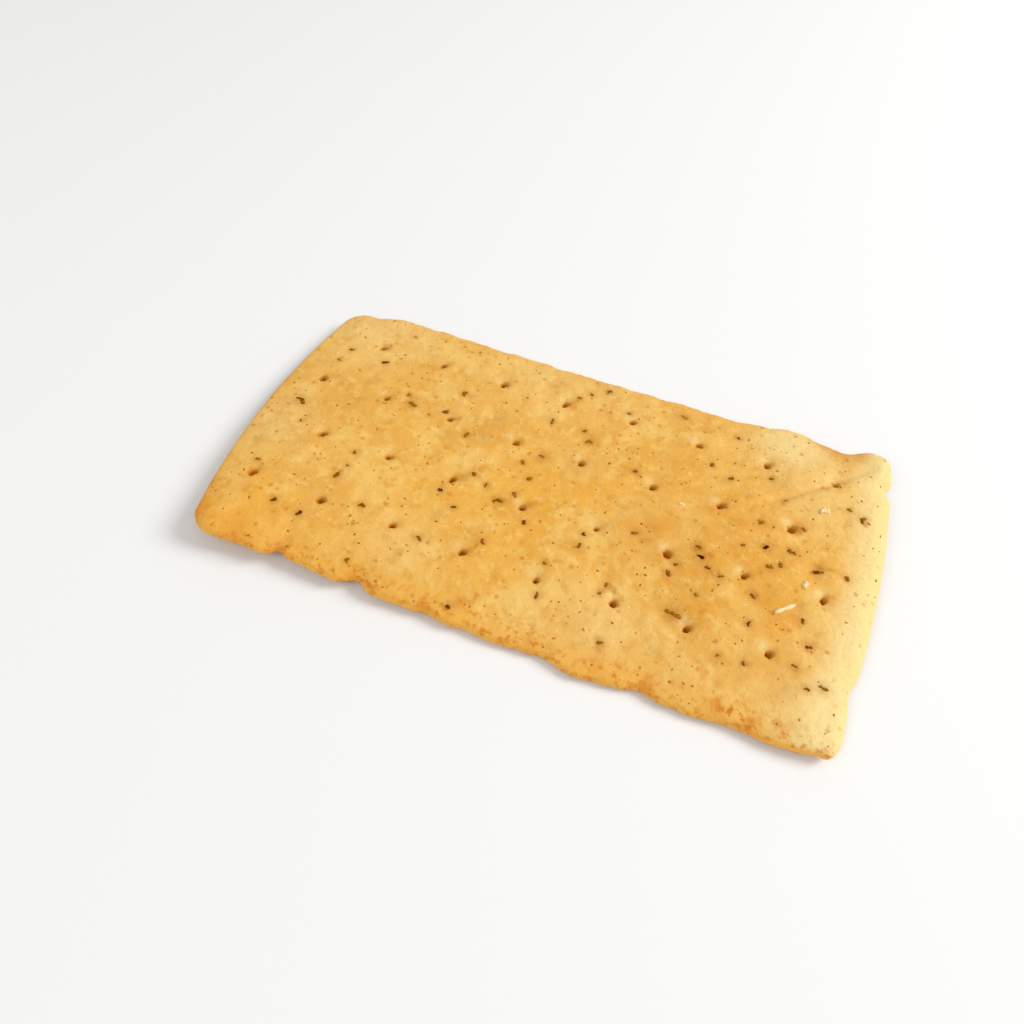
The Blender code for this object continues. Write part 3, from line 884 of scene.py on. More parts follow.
def tone_masks(x, y, rim, near_end):
    """How strongly each tone of the bake lies on each point of the top."""
    stains = [(f[0], f[1], STAIN_RADIUS[0] + STAIN_RADIUS[1] * f[2], 1.0) for f in fleck_places()]
    toast = [(b[0], b[1], b[2] * BUBBLE_TOAST[0], b[3] * BUBBLE_TOAST[1]) for b in spots(*BUBBLES)]
    pores = list(spots(*PORES))[::PORE_CREAM_STEP]
    cream = [(p[0], p[1], p[2] * PORE_CREAM[0], PORE_CREAM[1]) for p in pores]
    return {
        "toast": spread_spots(x, y, toast),
        "stain": spread_spots(x, y, stains),
        "cream": spread_spots(x, y, cream),
        "warm": spread_spots(x, y, WARM_ZONES),
        "fair_and_lit": spread_spots(x, y, FAIR_AND_LIT_ZONES),
        "baked": spread_spots(x, y, BAKED_AND_SHADED_ZONES),
        "buried": spread_spots(x, y, spots(*BURIED_HERBS)),
        "ember": spread_spots(x, y, spots(*EMBERS)),
        "hot": spread_spots(x, y, HOT_SPOTS),
        "rim": np.exp(-(rim / EDGE_REACH) ** 2) * (1.0 - near_end),
        "wall": np.exp(-(rim / WALL_REACH) ** 2) * (1.0 - near_end),
        "near_side": smooth_step(-y, NEAR_SIDE_START, WIDTH / 2),
        "fat_end_pale_and_highlight": 1.0 - smooth_step(right_end(y) - x, *FAT_END_PALE_AND_HIGHLIGHT),
        "thin_end": np.exp(-np.maximum(x - left_end(y), 0.0) / THIN_END_REACH),
    }


def slab_mesh(settings):
    """The fine slab: its points, its faces and the masks that its material reads."""
    x, y, centre_x, centre_y = plan_grid(settings)
    x, y = pinch_grid(x, y)
    top, under, rim, near_end = faces_at(x, y)
    down, dimple, tail, hole_highlight = hole_shape(x, y, settings.hole_radius / MM)
    fade = np.clip(rim / RELIEF_FADE, 0.0, 1.0)
    fine = fine_relief(x, y) * (RIM_RELIEF + (1.0 - RIM_RELIEF) * fade) * (1.0 - down)
    top = top + fine * settings.relief - dimple * HOLE_DIMPLE[1]
    top = top - down * (settings.hole_depth / MM + HOLE_FLOOR_RELIEF * fine)
    under = under + under_relief(x, y, down) * np.clip(rim, 0.0, 1.0)

    rows, columns = x.shape
    on_rim = np.zeros(x.shape, bool)
    on_rim[[0, -1], :] = True
    on_rim[:, [0, -1]] = True
    upper = np.where(on_rim, under * (1.0 - RIM_HEIGHT) + top * RIM_HEIGHT, top)
    side = settings.tear / MM * np.clip(1.0 - rim / TEAR_REACH, 0.0, 1.0) * (1.0 - near_end)
    upper_shift = np.where(on_rim, 0.0, torn_shift(x, y, upper, side, TEAR_SEEDS[0]))
    lower_shift = torn_shift(x, y, under, side, TEAR_SEEDS[1])
    outwards = np.sign(y)

    kept = np.zeros(x.shape, bool)
    kept[::2, ::2] = True
    kept &= ~on_rim
    lower_index = np.where(on_rim, np.arange(rows * columns).reshape(rows, columns), -1)
    lower_index[kept] = rows * columns + np.arange(kept.sum())
    points = np.concatenate([
        np.stack([x, y + outwards * upper_shift, upper], axis=-1).reshape(-1, 3),
        np.stack([x, y + outwards * lower_shift, under], axis=-1)[kept],
    ])
    points = (points - (centre_x, centre_y, 0.0)) * MM
    mesh = bpy.data.meshes.new("crust")
    mesh.from_pydata(points.tolist(), [], slab_faces(rows, columns, lower_index))
    mesh.shade_smooth()

    masks = {"pit": down, "tail": tail, "hole_highlight": hole_highlight, **tone_masks(x, y, rim, near_end)}
    for name, values in masks.items():
        store(mesh, name, np.concatenate([values.reshape(-1), values[kept]]))
    on_top = np.zeros(x.size)
    store(mesh, "under", np.concatenate([on_top, np.ones(kept.sum())]))
    store(mesh, "upper", np.concatenate([(rim > STREWN_RIM).reshape(-1), np.zeros(kept.sum())]))
    return mesh


# Sockets of a random value by its kind, as (first bound, output)
RANDOM_SOCKETS = {"FLOAT_VECTOR": (0, 0), "FLOAT": (2, 1), "INT": (4, 2)}


class Wiring:
    """Short ways to add and join the nodes of one tree."""

    def __init__(self, tree):
        self.tree = tree

    def add(self, kind, settings=(), **inputs):
        """Add a node, set its options and fill its inputs with values or with sockets."""
        node = self.tree.nodes.new(kind)
        for name, value in dict(settings).items():
            setattr(node, name, value)
        for name, value in inputs.items():
            self.fill(node.inputs[name.replace("_", " ")], value)
        return node

    def fill(self, socket, value):
        """Link a socket, or set its value."""
        if isinstance(value, bpy.types.NodeSocket):
            self.tree.links.new(value, socket)
        else:
            socket.default_value = value

    def math(self, operation, first, second, clamp=False):
        """One step of arithmetic."""
        node = self.tree.nodes.new("ShaderNodeMath")
        node.operation = operation
        node.use_clamp = clamp
        self.fill(node.inputs[0], first)
        self.fill(node.inputs[1], second)
        return node.outputs[0]

    def times(self, first, second, clamp=False):
        """One value or mask within another."""
        return self.math("MULTIPLY", first, second, clamp)

    def plus(self, first, second):
        """A value with another added to it."""
        return self.math("ADD", first, second)

    def mix(self, factor, first, second):
        """Mix two colours."""
        node = self.tree.nodes.new("ShaderNodeMix")
        node.data_type = "RGBA"
        self.fill(node.inputs["Factor"], factor)
        self.fill(node.inputs[6], first)
        self.fill(node.inputs[7], second)
        return node.outputs[2]

    def ramp(self, value, low, high):
        """Spread a range of a value over 0 to 1."""
        node = self.add("ShaderNodeMapRange", {"interpolation_type": "SMOOTHSTEP"},
                        Value=value, From_Min=low, From_Max=high)
        return node.outputs["Result"]

    def mask(self, name):
        """A number that the mesh keeps for each vertex."""
        node = self.tree.nodes.new("ShaderNodeAttribute")
        node.attribute_name = name
        return node.outputs["Fac"]

    def bump(self, shader, height, strength, distance):
        """Raise a shader's surface by a height."""
        node = self.add("ShaderNodeBump", Height=height, Strength=strength, Distance=distance)
        self.fill(shader.inputs["Normal"], node.outputs["Normal"])

    def noise(self, place, scale, detail, roughness):
        """Cloudy noise over the object's own coordinates."""
        node = self.add("ShaderNodeTexNoise", Vector=place, Scale=scale, Detail=detail,
                        Roughness=roughness)
        return node.outputs[0]

    def random(self, kind, seed, low, high):
        """A random number, whole number or vector between two bounds."""
        node = self.add("FunctionNodeRandomValue", {"data_type": kind}, Seed=seed)
        first, output = RANDOM_SOCKETS[kind]
        self.fill(node.inputs[first], low)
        self.fill(node.inputs[first + 1], high)
        return node.outputs[output]


def new_group(name, numbers, outputs):
    """A shader node group that reads a place and some numbers: its wiring, start and end."""
    tree = bpy.data.node_groups.new(name, "ShaderNodeTree")
    tree.interface.new_socket(name="Vector", in_out="INPUT", socket_type="NodeSocketVector")
    for way, labels in (("INPUT", numbers), ("OUTPUT", outputs)):
        for label in labels:
            tree.interface.new_socket(name=label, in_out=way, socket_type="NodeSocketFloat")
    return Wiring(tree), tree.nodes.new("NodeGroupInput"), tree.nodes.new("NodeGroupOutput")


def mottle_group():
    """Cloudy patches, as an oven leaves them."""
    wire, start, end = new_group("Baked mottling", ["Scale", "Low", "High"], ["Factor"])
    cloud = wire.noise(start.outputs["Vector"], start.outputs["Scale"], *CLOUDY)
    patches = wire.ramp(cloud, start.outputs["Low"], start.outputs["High"])
    wire.fill(end.inputs["Factor"], patches)
    return wire.tree


def grain_group():
    """Fine grain: a height for bump and a factor for slight changes of tone."""
    wire, start, end = new_group("Fine grain", ["Scale"], ["Height", "Tone"])
    place = start.outputs["Vector"]
    fine = wire.noise(place, start.outputs["Scale"], *CLOUDY)
    wide = wire.noise(place, wire.times(start.outputs["Scale"], GRAIN_WIDE), *SOFT)
    wire.fill(end.inputs["Height"], wire.plus(wire.times(fine, GRAIN_FINE), wide))
    wire.fill(end.inputs["Tone"], wire.ramp(fine, *GRAIN_TONES))
    return wire.tree


def speckle_group():
    """Small specks with soft edges and their own strengths, in a share of the cells."""
    wire, start, end = new_group("Herb dust", ["Scale", "Size", "Share"], ["Factor"])
    cells = wire.add("ShaderNodeTexVoronoi", {"feature": "F1"}, Vector=start.outputs["Vector"],
                     Scale=start.outputs["Scale"])
    outwards = wire.math("DIVIDE", cells.outputs["Distance"], start.outputs["Size"])
    core = wire.times(wire.math("SUBTRACT", 1.0, outwards, True), SPECK_CORE, True)
    split = wire.add("ShaderNodeSeparateColor", Color=cells.outputs["Color"])
    chosen = wire.math("LESS_THAN", split.outputs[0], start.outputs["Share"])
    own = wire.plus(wire.times(split.outputs[1], SPECK_STRENGTH[1]), SPECK_STRENGTH[0])
    wire.fill(end.inputs["Factor"], wire.times(wire.times(core, own), chosen))
    return wire.tree


def use_group(wire, tree, **inputs):
    """Place a node group in a material."""
    node = wire.tree.nodes.new("ShaderNodeGroup")
    node.node_tree = tree
    for name, value in inputs.items():
        wire.fill(node.inputs[name], value)
    return node


def new_material(name, roughness):
    """An empty material, the wiring of its tree and its shader."""
    material = bpy.data.materials.new(name)
    material.use_nodes = True
    shader = material.node_tree.nodes["Principled BSDF"]
    shader.inputs["Roughness"].default_value = roughness
    wire = Wiring(material.node_tree)
    place = wire.add("ShaderNodeTexCoord").outputs["Object"]
    return material, wire, shader, place


def crust_masks(wire, groups, place):
    """The masks that the crust's tones are laid through, by name."""
    masks = {}
    for name, (scale, low, high) in CRUST_MOTTLES.items():
        node = use_group(wire, groups["mottle"], Vector=place, Scale=scale, Low=low, High=high)
        masks[name] = node.outputs[0]
    for name, (scale, size, share) in CRUST_SPECKS.items():
        node = use_group(wire, groups["dust"], Vector=place, Scale=scale, Size=size, Share=share)
        masks[name] = node.outputs[0]

    # The near side takes most of the toasted edge and most of the painted light on the torn walls
    side = wire.plus(wire.mask("near_side"), FAR_SIDE_SHARE)
    masks["edge"] = wire.times(wire.mask("rim"), side)
    masks["lit_torn_wall"] = wire.times(wire.mask("wall"), side)
    edge_dabs = wire.times(masks["dab"], wire.plus(masks["patch"], DAB_LEAST))
    wall_dabs = wire.times(masks["dab"], wire.plus(masks["freckle"], DAB_LEAST))
    masks["edge_dabs"] = wire.times(masks["edge"], edge_dabs)
    masks["wall_dabs"] = wire.times(masks["lit_torn_wall"], wall_dabs)
    blotch = wire.plus(wire.times(masks["freckle"], BLOTCH[0]), BLOTCH[1])
    soak = wire.plus(wire.times(masks["freckle"], SOAK[0]), SOAK[1])
    masks["ember"] = wire.times(wire.mask("ember"), blotch)
    for name in ("hot", "stain", "tail"):
        masks[name] = wire.times(wire.mask(name), soak)
    masks["pit"] = wire.times(wire.mask("pit"), PIT_GAIN, True)
    return masks


def crust_material(settings, groups):
    """Golden crust: mottled, toasted at its torn edges, brown in its holes, with painted light
    beside the holes, on the fat end and on the shaded torn walls, and some painted shade in its
    baked zones.
    """
    material, wire, shader, place = new_material("golden_crust", CRUST_PLAIN_ROUGHNESS)
    masks = crust_masks(wire, groups, place)
    grain = use_group(wire, groups["grain"], Vector=place, Scale=CRUST_GRAIN)
    masks["grain"] = grain.outputs["Tone"]
    colour = (*settings.gold, 1.0)
    for name, tone, strength in CRUST_LAYS:
        if name not in masks:
            masks[name] = wire.mask(name)
        share = wire.times(masks[name], strength, True)
        colour = wire.mix(share, colour, (*getattr(settings, tone), 1.0))
    wire.fill(shader.inputs["Base Color"], colour)

    least, gain = CRUST_ROUGHNESS
    rough = wire.plus(wire.times(grain.outputs["Tone"], gain), least)
    wire.fill(shader.inputs["Roughness"], rough)
    shader.inputs["Specular IOR Level"].default_value = CRUST_SHEEN
    flour = wire.times(masks["flour"], FLOUR_HEIGHT)
    wire.bump(shader, wire.plus(grain.outputs["Height"], flour), *CRUST_BUMP)
    return material


def herb_material(settings, groups):
    """Dried rosemary: a few bits scorched near black, most brown, some olive."""
    material, wire, shader, place = new_material("dried_rosemary", HERB_ROUGHNESS)
    scale, low, high = HERB_MOTTLE
    patch = use_group(wire, groups["mottle"], Vector=place, Scale=scale, Low=low, High=high)
    grain = use_group(wire, groups["grain"], Vector=place, Scale=HERB_GRAIN)
    tint = wire.mask("tint")
    tan = (*settings.tan, 1.0)
    brown = wire.mix(wire.ramp(tint, *TO_BROWN), (*settings.dark, 1.0), (*settings.brown, 1.0))
    olive = wire.mix(wire.ramp(tint, *TO_OLIVE), brown, (*settings.olive, 1.0))
    colour = wire.mix(wire.ramp(tint, *TO_TAN), olive, tan)
    clinging = wire.times(patch.outputs[0], wire.ramp(tint, *CLINGING))
    colour = wire.mix(wire.times(clinging, CLINGING_SHARE), colour, tan)
    wire.fill(shader.inputs["Base Color"], colour)
    shader.inputs["Specular IOR Level"].default_value = 0.0
    wire.bump(shader, grain.outputs["Height"], *HERB_BUMP)
    return material


def crumb_material(settings, groups):
    """Pale dry crumb."""
    material, wire, shader, place = new_material("pale_crumb", CRUMB_ROUGHNESS)
    grain = use_group(wire, groups["grain"], Vector=place, Scale=CRUMB_GRAIN)
    colour = wire.mix(grain.outputs["Tone"], (*settings.cream, 1.0), (*settings.shade, 1.0))
    wire.fill(shader.inputs["Base Color"], colour)
    wire.bump(shader, grain.outputs["Height"], *CRUMB_BUMP)
    return material


def shared_groups():
    """The shader node groups that the materials share, made once."""
    makers = {
        "mottle": ("Baked mottling", mottle_group),
        "grain": ("Fine grain", grain_group),
        "dust": ("Herb dust", speckle_group),
    }
    groups = {}
    for key, (name, make) in makers.items():
        groups[key] = bpy.data.node_groups.get(name) or make()
    return groups


def finish_piece(piece, material, replaced=False):
    """Give a finished piece its material and slot, and let it ride with the cracker."""
    piece.data.materials.clear()
    piece.data.materials.append(material)
    piece.data.shade_smooth()
    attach(piece, BODY)
    if replaced:
        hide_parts(SOLID)


def link_object(name, data):
    """A new object in the scene."""
    piece = bpy.data.objects.new(name, data)
    bpy.context.scene.collection.objects.link(piece)
    return piece


def mesh_of(name, shape):
    """A mesh from a finished shape."""
    mesh = bpy.data.meshes.new(name)
    shape.to_mesh(mesh)
    shape.free()
    return mesh


def roughen(corners, roughness, draw):
    """Push each corner of a ball in or out a little."""
    for corner in corners:
        corner.co *= 1.0 + roughness * draw.uniform(-1.0, 1.0)


def herb_bit(name, fragments, seed):
    """One bit of dried herb, one unit long: crumpled fragments in a loose row."""
    draw = np.random.default_rng(seed)
    loose = fragments > 1
    shape = bmesh.new()
    for number in range(fragments):
        made = bmesh.ops.create_icosphere(shape, subdivisions=2, radius=0.5)["verts"]
        roughen(made, FRAGMENT_ROUGHNESS, draw)
        length = draw.uniform(*FRAGMENT_LENGTH) / fragments ** FRAGMENT_POWER
        width = draw.uniform(*FRAGMENT_WIDTH)
        bmesh.ops.scale(shape, verts=made, vec=(length, width, 1.0))
        spin = Matrix.Rotation(draw.uniform(-FRAGMENT_TURN, FRAGMENT_TURN) * loose, 3, "Z")
        bmesh.ops.rotate(shape, verts=made, cent=(0.0, 0.0, 0.0), matrix=spin)
        along = (number + 0.5) / fragments - 0.5
        aside = draw.uniform(-FRAGMENT_ASIDE, FRAGMENT_ASIDE) * loose
        shift = (along, aside, draw.uniform(*FRAGMENT_LEVEL))
        bmesh.ops.translate(shape, verts=made, vec=shift)
    bmesh.ops.recalc_face_normals(shape, faces=shape.faces[:])
    return mesh_of(name, shape)


def herb_bits(name, fragment_counts, first_seed):
    """Unlike bits of dried herb or of crumb."""
    return [herb_bit(f"{name}_{n}", fragments, first_seed + n)
            for n, fragments in enumerate(fragment_counts)]


def lumps(name, count, first_seed, roughness):
    """Small uneven lumps, each one unit long, wide and high."""
    meshes = []
    for number in range(count):
        shape = bmesh.new()
        bmesh.ops.create_icosphere(shape, subdivisions=1, radius=0.5)
        roughen(shape.verts, roughness, np.random.default_rng(first_seed + number))
        bmesh.ops.recalc_face_normals(shape, faces=shape.faces[:])
        meshes.append(mesh_of(f"{name}_{number}", shape))
    return meshes


def scatter_tree(name, **more):
    """A geometry nodes tree with named inputs: its wiring, start, end and socket identifiers."""
    tree = bpy.data.node_groups.new(name, "GeometryNodeTree")
    kinds = {"Geometry": "Geometry", "Shapes": "Collection", "Material": "Material", "Seed": "Int"}
    sockets = {}
    for label, kind in {**kinds, **more}.items():
        socket = tree.interface.new_socket(
            name=label, in_out="INPUT", socket_type=f"NodeSocket{kind}")
        sockets[label] = socket.identifier
    tree.interface.new_socket(name="Geometry", in_out="OUTPUT", socket_type="NodeSocketGeometry")
    start = tree.nodes.new("NodeGroupInput")
    end = tree.nodes.new("NodeGroupOutput")
    return Wiring(tree), start, end, sockets


def shapes_on_points(wire, start, points, turn, size):
    """Geometry nodes: one of the shapes on every point, picked at random."""
    shapes = wire.add("GeometryNodeCollectionInfo", Collection=start.outputs["Shapes"],
                      Separate_Children=True, Reset_Children=True)
    pick = wire.random("INT", start.outputs["Seed"], 0, LAST_PICK)
    instance = wire.add("GeometryNodeInstanceOnPoints", Points=points,
                        Instance=shapes.outputs[0], Pick_Instance=True, Instance_Index=pick,
                        Rotation=turn, Scale=size)
    return instance.outputs[0]


def make_real(wire, start, end, bits):
    """Geometry nodes: plain faces in place of the instances, with their material."""
    real = wire.add("GeometryNodeRealizeInstances", Geometry=bits)
    finish = wire.add("GeometryNodeSetMaterial", Geometry=real.outputs[0],
                      Material=start.outputs["Material"])
    wire.tree.links.new(finish.outputs[0], end.inputs[0])


def placed_tree():
    """Geometry nodes: a shape on every point, turned and sized by the points' own values."""
    wire, start, end, sockets = scatter_tree("Placed bits")
    turn = wire.add("GeometryNodeInputNamedAttribute", {"data_type": "FLOAT_VECTOR"}, Name="turn")
    size = wire.add("GeometryNodeInputNamedAttribute", {"data_type": "FLOAT_VECTOR"}, Name="size")
    bits = shapes_on_points(wire, start, start.outputs["Geometry"], turn.outputs[0],
                            size.outputs[0])
    make_real(wire, start, end, bits)
    return wire.tree, sockets


def strewn_tree():
    """Geometry nodes: shapes strewn at random over a share of the faces, each with a tint."""
    wire, start, end, sockets = scatter_tree(
        "Strewn bits", Share="String", Density="Float", Spacing="Float", Smallest="Float",
        Largest="Float", Darkest="Float")
    seed = start.outputs["Seed"]
    share = wire.add("GeometryNodeInputNamedAttribute", Name=start.outputs["Share"])
    scatter = wire.add("GeometryNodeDistributePointsOnFaces", {"distribute_method": "POISSON"},
                       Mesh=start.outputs["Geometry"], Seed=seed,
                       Distance_Min=start.outputs["Spacing"],
                       Density_Max=start.outputs["Density"], Density_Factor=share.outputs[0])
    turn = wire.random("FLOAT_VECTOR", seed, *STREWN_TURNS)
    size = wire.random("FLOAT", seed, start.outputs["Smallest"], start.outputs["Largest"])
    proportions = wire.random("FLOAT_VECTOR", seed, *STREWN_PROPORTIONS)
    scale = wire.add("ShaderNodeVectorMath", {"operation": "SCALE"}, Scale=size)
    wire.fill(scale.inputs[0], proportions)
    bits = shapes_on_points(wire, start, scatter.outputs["Points"], turn, scale.outputs[0])
    tint = wire.random("FLOAT", seed, start.outputs["Darkest"], 1.0)
    kept = wire.add("GeometryNodeStoreNamedAttribute", {"domain": "INSTANCE"}, Geometry=bits,
                    Name="tint", Value=tint)
    make_real(wire, start, end, kept.outputs[0])
    return wire.tree, sockets


def scattered_piece(name, base, make_tree, shapes, material, values):
    """Run a scatter tree over a mesh, and finish the result as one plain piece."""
    group = bpy.data.collections.new(name)
    for number, shape in enumerate(shapes):
        group.objects.link(bpy.data.objects.new(f"{name}_{number}", shape))
    carrier = link_object(name, base)
    modifier = carrier.modifiers.new("scatter", "NODES")
    modifier.node_group, sockets = make_tree()
    for label, value in {"Shapes": group, "Material": material, **values}.items():
        modifier[sockets[label]] = value
    seen = carrier.evaluated_get(bpy.context.evaluated_depsgraph_get())
    mesh = bpy.data.meshes.new_from_object(seen)
    if not mesh.polygons:
        raise RuntimeError(f"{name}: nothing was scattered")
    carrier.modifiers.clear()
    carrier.data = mesh
    mesh.name = name
    for piece in list(group.objects):
        bpy.data.objects.remove(piece, do_unlink=True)
    bpy.data.collections.remove(group)
    finish_piece(carrier, material)


def strew(name, shapes, material, settings, spacing, sizes, darkest=0.0):
    """Strew small bits over the upper face of the crust."""
    scattered_piece(name, bpy.data.objects["crust"].data.copy(), strewn_tree, shapes, material, {
        "Share": "upper", "Density": settings.density, "Spacing": spacing * MM,
        "Smallest": sizes[0] * MM, "Largest": sizes[1] * MM, "Darkest": darkest,
        "Seed": settings.seed,
    })


def point_mesh(name, places, turns, sizes):
    """Loose points that keep a turn and a size each. Places and sizes come in millimetres."""
    mesh = bpy.data.meshes.new(name)
    mesh.from_pydata((np.array(places) * MM).tolist(), [], [])
    for label, values in (("turn", np.array(turns)), ("size", np.array(sizes) * MM)):
        layer = mesh.attributes.new(label, "FLOAT_VECTOR", "POINT")
        layer.data.foreach_set("vector", values.astype(np.float32).reshape(-1))
    return mesh


class CrustSettings(bpy.types.PropertyGroup):
    """Sizes and colours of the crust."""

    step: FloatProperty(name="Mesh step", description="Spacing of the crust's mesh",
                        default=0.42 * MM, min=0.2 * MM, unit="LENGTH", precision=5)
    hole_radius: FloatProperty(name="Hole radius", description="Radius of a dock hole's mouth",
                               default=0.90 * MM, unit="LENGTH", precision=5)
    hole_depth: FloatProperty(name="Hole depth", description="Depth of the dock holes",
                              default=2.0 * MM, unit="LENGTH", precision=5)
    relief: FloatProperty(name="Fine relief", description="Strength of bubbles and pores",
                          default=1.0, min=0.0)
    tear: FloatProperty(name="Tear", description="Roughness of the torn long edges",
                        default=0.19 * MM, unit="LENGTH", precision=5)
    gold: FloatVectorProperty(name="Gold", description="Main colour of the crust",
                              subtype="COLOR", default=(0.890, 0.50, 0.108))
    honey: FloatVectorProperty(name="Honey", description="Warmer parts of the crust",
                               subtype="COLOR", default=(0.90, 0.44, 0.056))
    # Pale is laid both as the least baked tone and as painted light: the highlights beside the
    # holes, the fat end's band and the fair zones
    pale: FloatVectorProperty(name="Pale", description="Least baked parts",
                              subtype="COLOR", default=(0.985, 0.765, 0.325))
    light: FloatVectorProperty(name="Light", description="Fair yellow patches",
                               subtype="COLOR", default=(0.94, 0.60, 0.165))
    toasted: FloatVectorProperty(name="Toasted", description="Most baked parts",
                                 subtype="COLOR", default=(0.75, 0.34, 0.046))
    edge: FloatVectorProperty(name="Edge", description="Toasted long edges and hot spots",
                              subtype="COLOR", default=(0.70, 0.225, 0.014))
    # Torn is partly the open crumb's own tone and partly painted light: it is laid lighter on the
    # torn walls, which lie in shade, to lift them
    torn: FloatVectorProperty(name="Torn", description="Open crumb of the torn long edges",
                              subtype="COLOR", default=(0.95, 0.48, 0.075))
    brown: FloatVectorProperty(name="Brown", description="Underside and halos of the herbs",
                               subtype="COLOR", default=(0.44, 0.16, 0.010))
    pit: FloatVectorProperty(name="Hole brown", description="Inside of the dock holes",
                             subtype="COLOR", default=(0.55, 0.20, 0.002))
    tail: FloatVectorProperty(name="Hole tail", description="Browning beside the dock holes",
                              subtype="COLOR", default=(0.62, 0.245, 0.016))
    buried: FloatVectorProperty(name="Buried herb", description="Herbs under the surface",
                                subtype="COLOR", default=(0.45, 0.30, 0.08))
    speck: FloatVectorProperty(name="Speck", description="Small toasted specks",
                               subtype="COLOR", default=(0.54, 0.18, 0.008))
    dust: FloatVectorProperty(name="Herb dust", description="Finest herb dust in the crust",
                              subtype="COLOR", default=(0.34, 0.12, 0.006))


class HerbSettings(bpy.types.PropertyGroup):
    """Herb flecks and dust."""

    dark: FloatVectorProperty(name="Dark", description="Scorched herb",
                              subtype="COLOR", default=(0.070, 0.010, 0.001))
    brown: FloatVectorProperty(name="Brown", description="Baked herb",
                               subtype="COLOR", default=(0.26, 0.072, 0.002))
    olive: FloatVectorProperty(name="Olive", description="Herb that stayed green",
                               subtype="COLOR", default=(0.34, 0.125, 0.008))
    tan: FloatVectorProperty(name="Tan", description="Crust that clings to the herb",
                             subtype="COLOR", default=(0.60, 0.25, 0.016))
    density: FloatProperty(name="Speck density", description="Small specks to the square metre",
                           default=27000.0)
    seed: IntProperty(name="Seed", description="Seed of the scatter", default=4)


class CrumbSettings(bpy.types.PropertyGroup):
    """Pale crumbs."""

    cream: FloatVectorProperty(name="Cream", description="Lit crumb",
                               subtype="COLOR", default=(0.98, 0.85, 0.50))
    shade: FloatVectorProperty(name="Shade", description="Darker crumb",
                               subtype="COLOR", default=(0.92, 0.68, 0.28))
    density: FloatProperty(name="Crumb density", description="Tiny crumbs to the square metre",
                           default=3000.0)
    seed: IntProperty(name="Seed", description="Seed of the scatter", default=9)


class StageSettings(bpy.types.PropertyGroup):
    """Floor and light."""

    floor: FloatVectorProperty(name="Floor", description="Colour of the floor",
                               subtype="COLOR", default=(0.94, 0.94, 0.93))
    sky: FloatProperty(name="Sky", description="Strength of the even light", default=0.46)
    key: FloatProperty(name="Key", description="Power of the large light", default=12.0,
                       subtype="POWER")
    fill: FloatProperty(name="Fill", description="Power of the smaller light", default=5.5,
                        subtype="POWER")


class CRACKER_OT_crust(bpy.types.Operator):
    """Make the crust with its dock holes and relief"""

    bl_idname = "cracker.crust"
    bl_label = "Make the crust"

    def execute(self, context):
        settings = context.scene.cracker_crust
        piece = link_object("crust", slab_mesh(settings))
        finish_piece(piece, crust_material(settings, shared_groups()), replaced=True)
        return {"FINISHED"}


class CRACKER_OT_rosemary(bpy.types.Operator):
    """Set the larger rosemary flecks where the solid has them"""

    bl_idname = "cracker.rosemary"
    bl_label = "Set the rosemary"

    def execute(self, context):
        settings = context.scene.cracker_herb
        centre_x, centre_y = plan_grid(context.scene.cracker_crust)[2:]
        draw = np.random.default_rng(settings.seed)
        places, turns, sizes, tints = [], [], [], []
        for number, (x, y, length, slimness, turn) in enumerate(fleck_places()):
            places.append((x - centre_x, y - centre_y, top_height(x, y) - FLECK_SUNK))
            roll = draw.uniform(-FLECK_ROLL, FLECK_ROLL)
            tilt = draw.uniform(-FLECK_TILT, FLECK_TILT)
            turns.append((roll, tilt, math.radians(turn)))
            width = min(length * slimness * draw.uniform(*FLECK_WIDENING), FLECK_WIDEST)
            sizes.append((length, width, min(width, FLECK_HEIGHT[0]) * FLECK_HEIGHT[1]))
            tints.append(FLECK_TINTS.get(number, draw.uniform(*FLECK_TINT_RANGE)))
        material = herb_material(settings, shared_groups())
        shapes = herb_bits("bit", HERB_FRAGMENTS, HERB_SHAPE_SEED)
        points = point_mesh("fleck_points", places, turns, sizes)
        store(points, "tint", tints)
        scattered_piece("rosemary_flecks", points, placed_tree, shapes, material,
                        {"Seed": settings.seed})
        return {"FINISHED"}


class CRACKER_OT_specks(bpy.types.Operator):
    """Strew small herb specks over the top"""

    bl_idname = "cracker.specks"
    bl_label = "Strew herb specks"

    def execute(self, context):
        material = bpy.data.materials["dried_rosemary"]
        strew("herb_specks", lumps("speck", *SPECK_SHAPES), material, context.scene.cracker_herb,
              SPECK_SPACING, SPECK_SIZES, SPECK_DARKEST)
        return {"FINISHED"}


class CRACKER_OT_crumbs(bpy.types.Operator):
    """Set the pale crumbs where the solid has them, and strew tiny ones"""

    bl_idname = "cracker.crumbs"
    bl_label = "Set the crumbs"

    def execute(self, context):
        settings = context.scene.cracker_crumb
        centre_x, centre_y = plan_grid(context.scene.cracker_crust)[2:]
        places, turns, sizes = [], [], []
        for x, y, length, width, turn in CRUMBS:
            places.append((x - centre_x, y - centre_y, top_height(x, y) + FLECK_RISE))
            turns.append((0.0, 0.0, math.radians(turn)))
            sizes.append((length, width, CRUMB_HEIGHT))
        material = crumb_material(settings, shared_groups())
        shapes = herb_bits("crumb", CRUMB_FRAGMENTS, CRUMB_SHAPE_SEED)
        points = point_mesh("crumb_points", places, turns, sizes)
        scattered_piece("pale_crumbs", points, placed_tree, shapes, material,
                        {"Seed": settings.seed})
        strew("tiny_crumbs", lumps("grit", *GRIT_SHAPES), material, settings,
              GRIT_SPACING, GRIT_SIZES)
        return {"FINISHED"}


def area_light(name, place, width, power):
    """A large soft light that points at the cracker."""
    light = bpy.data.lights.new(name, "AREA")
    light.shape = "DISK"
    light.size = width
    light.energy = power
    lamp = link_object(name, light)
    lamp.location = place
    lamp.rotation_euler = Vector(place).to_track_quat("Z", "Y").to_euler()


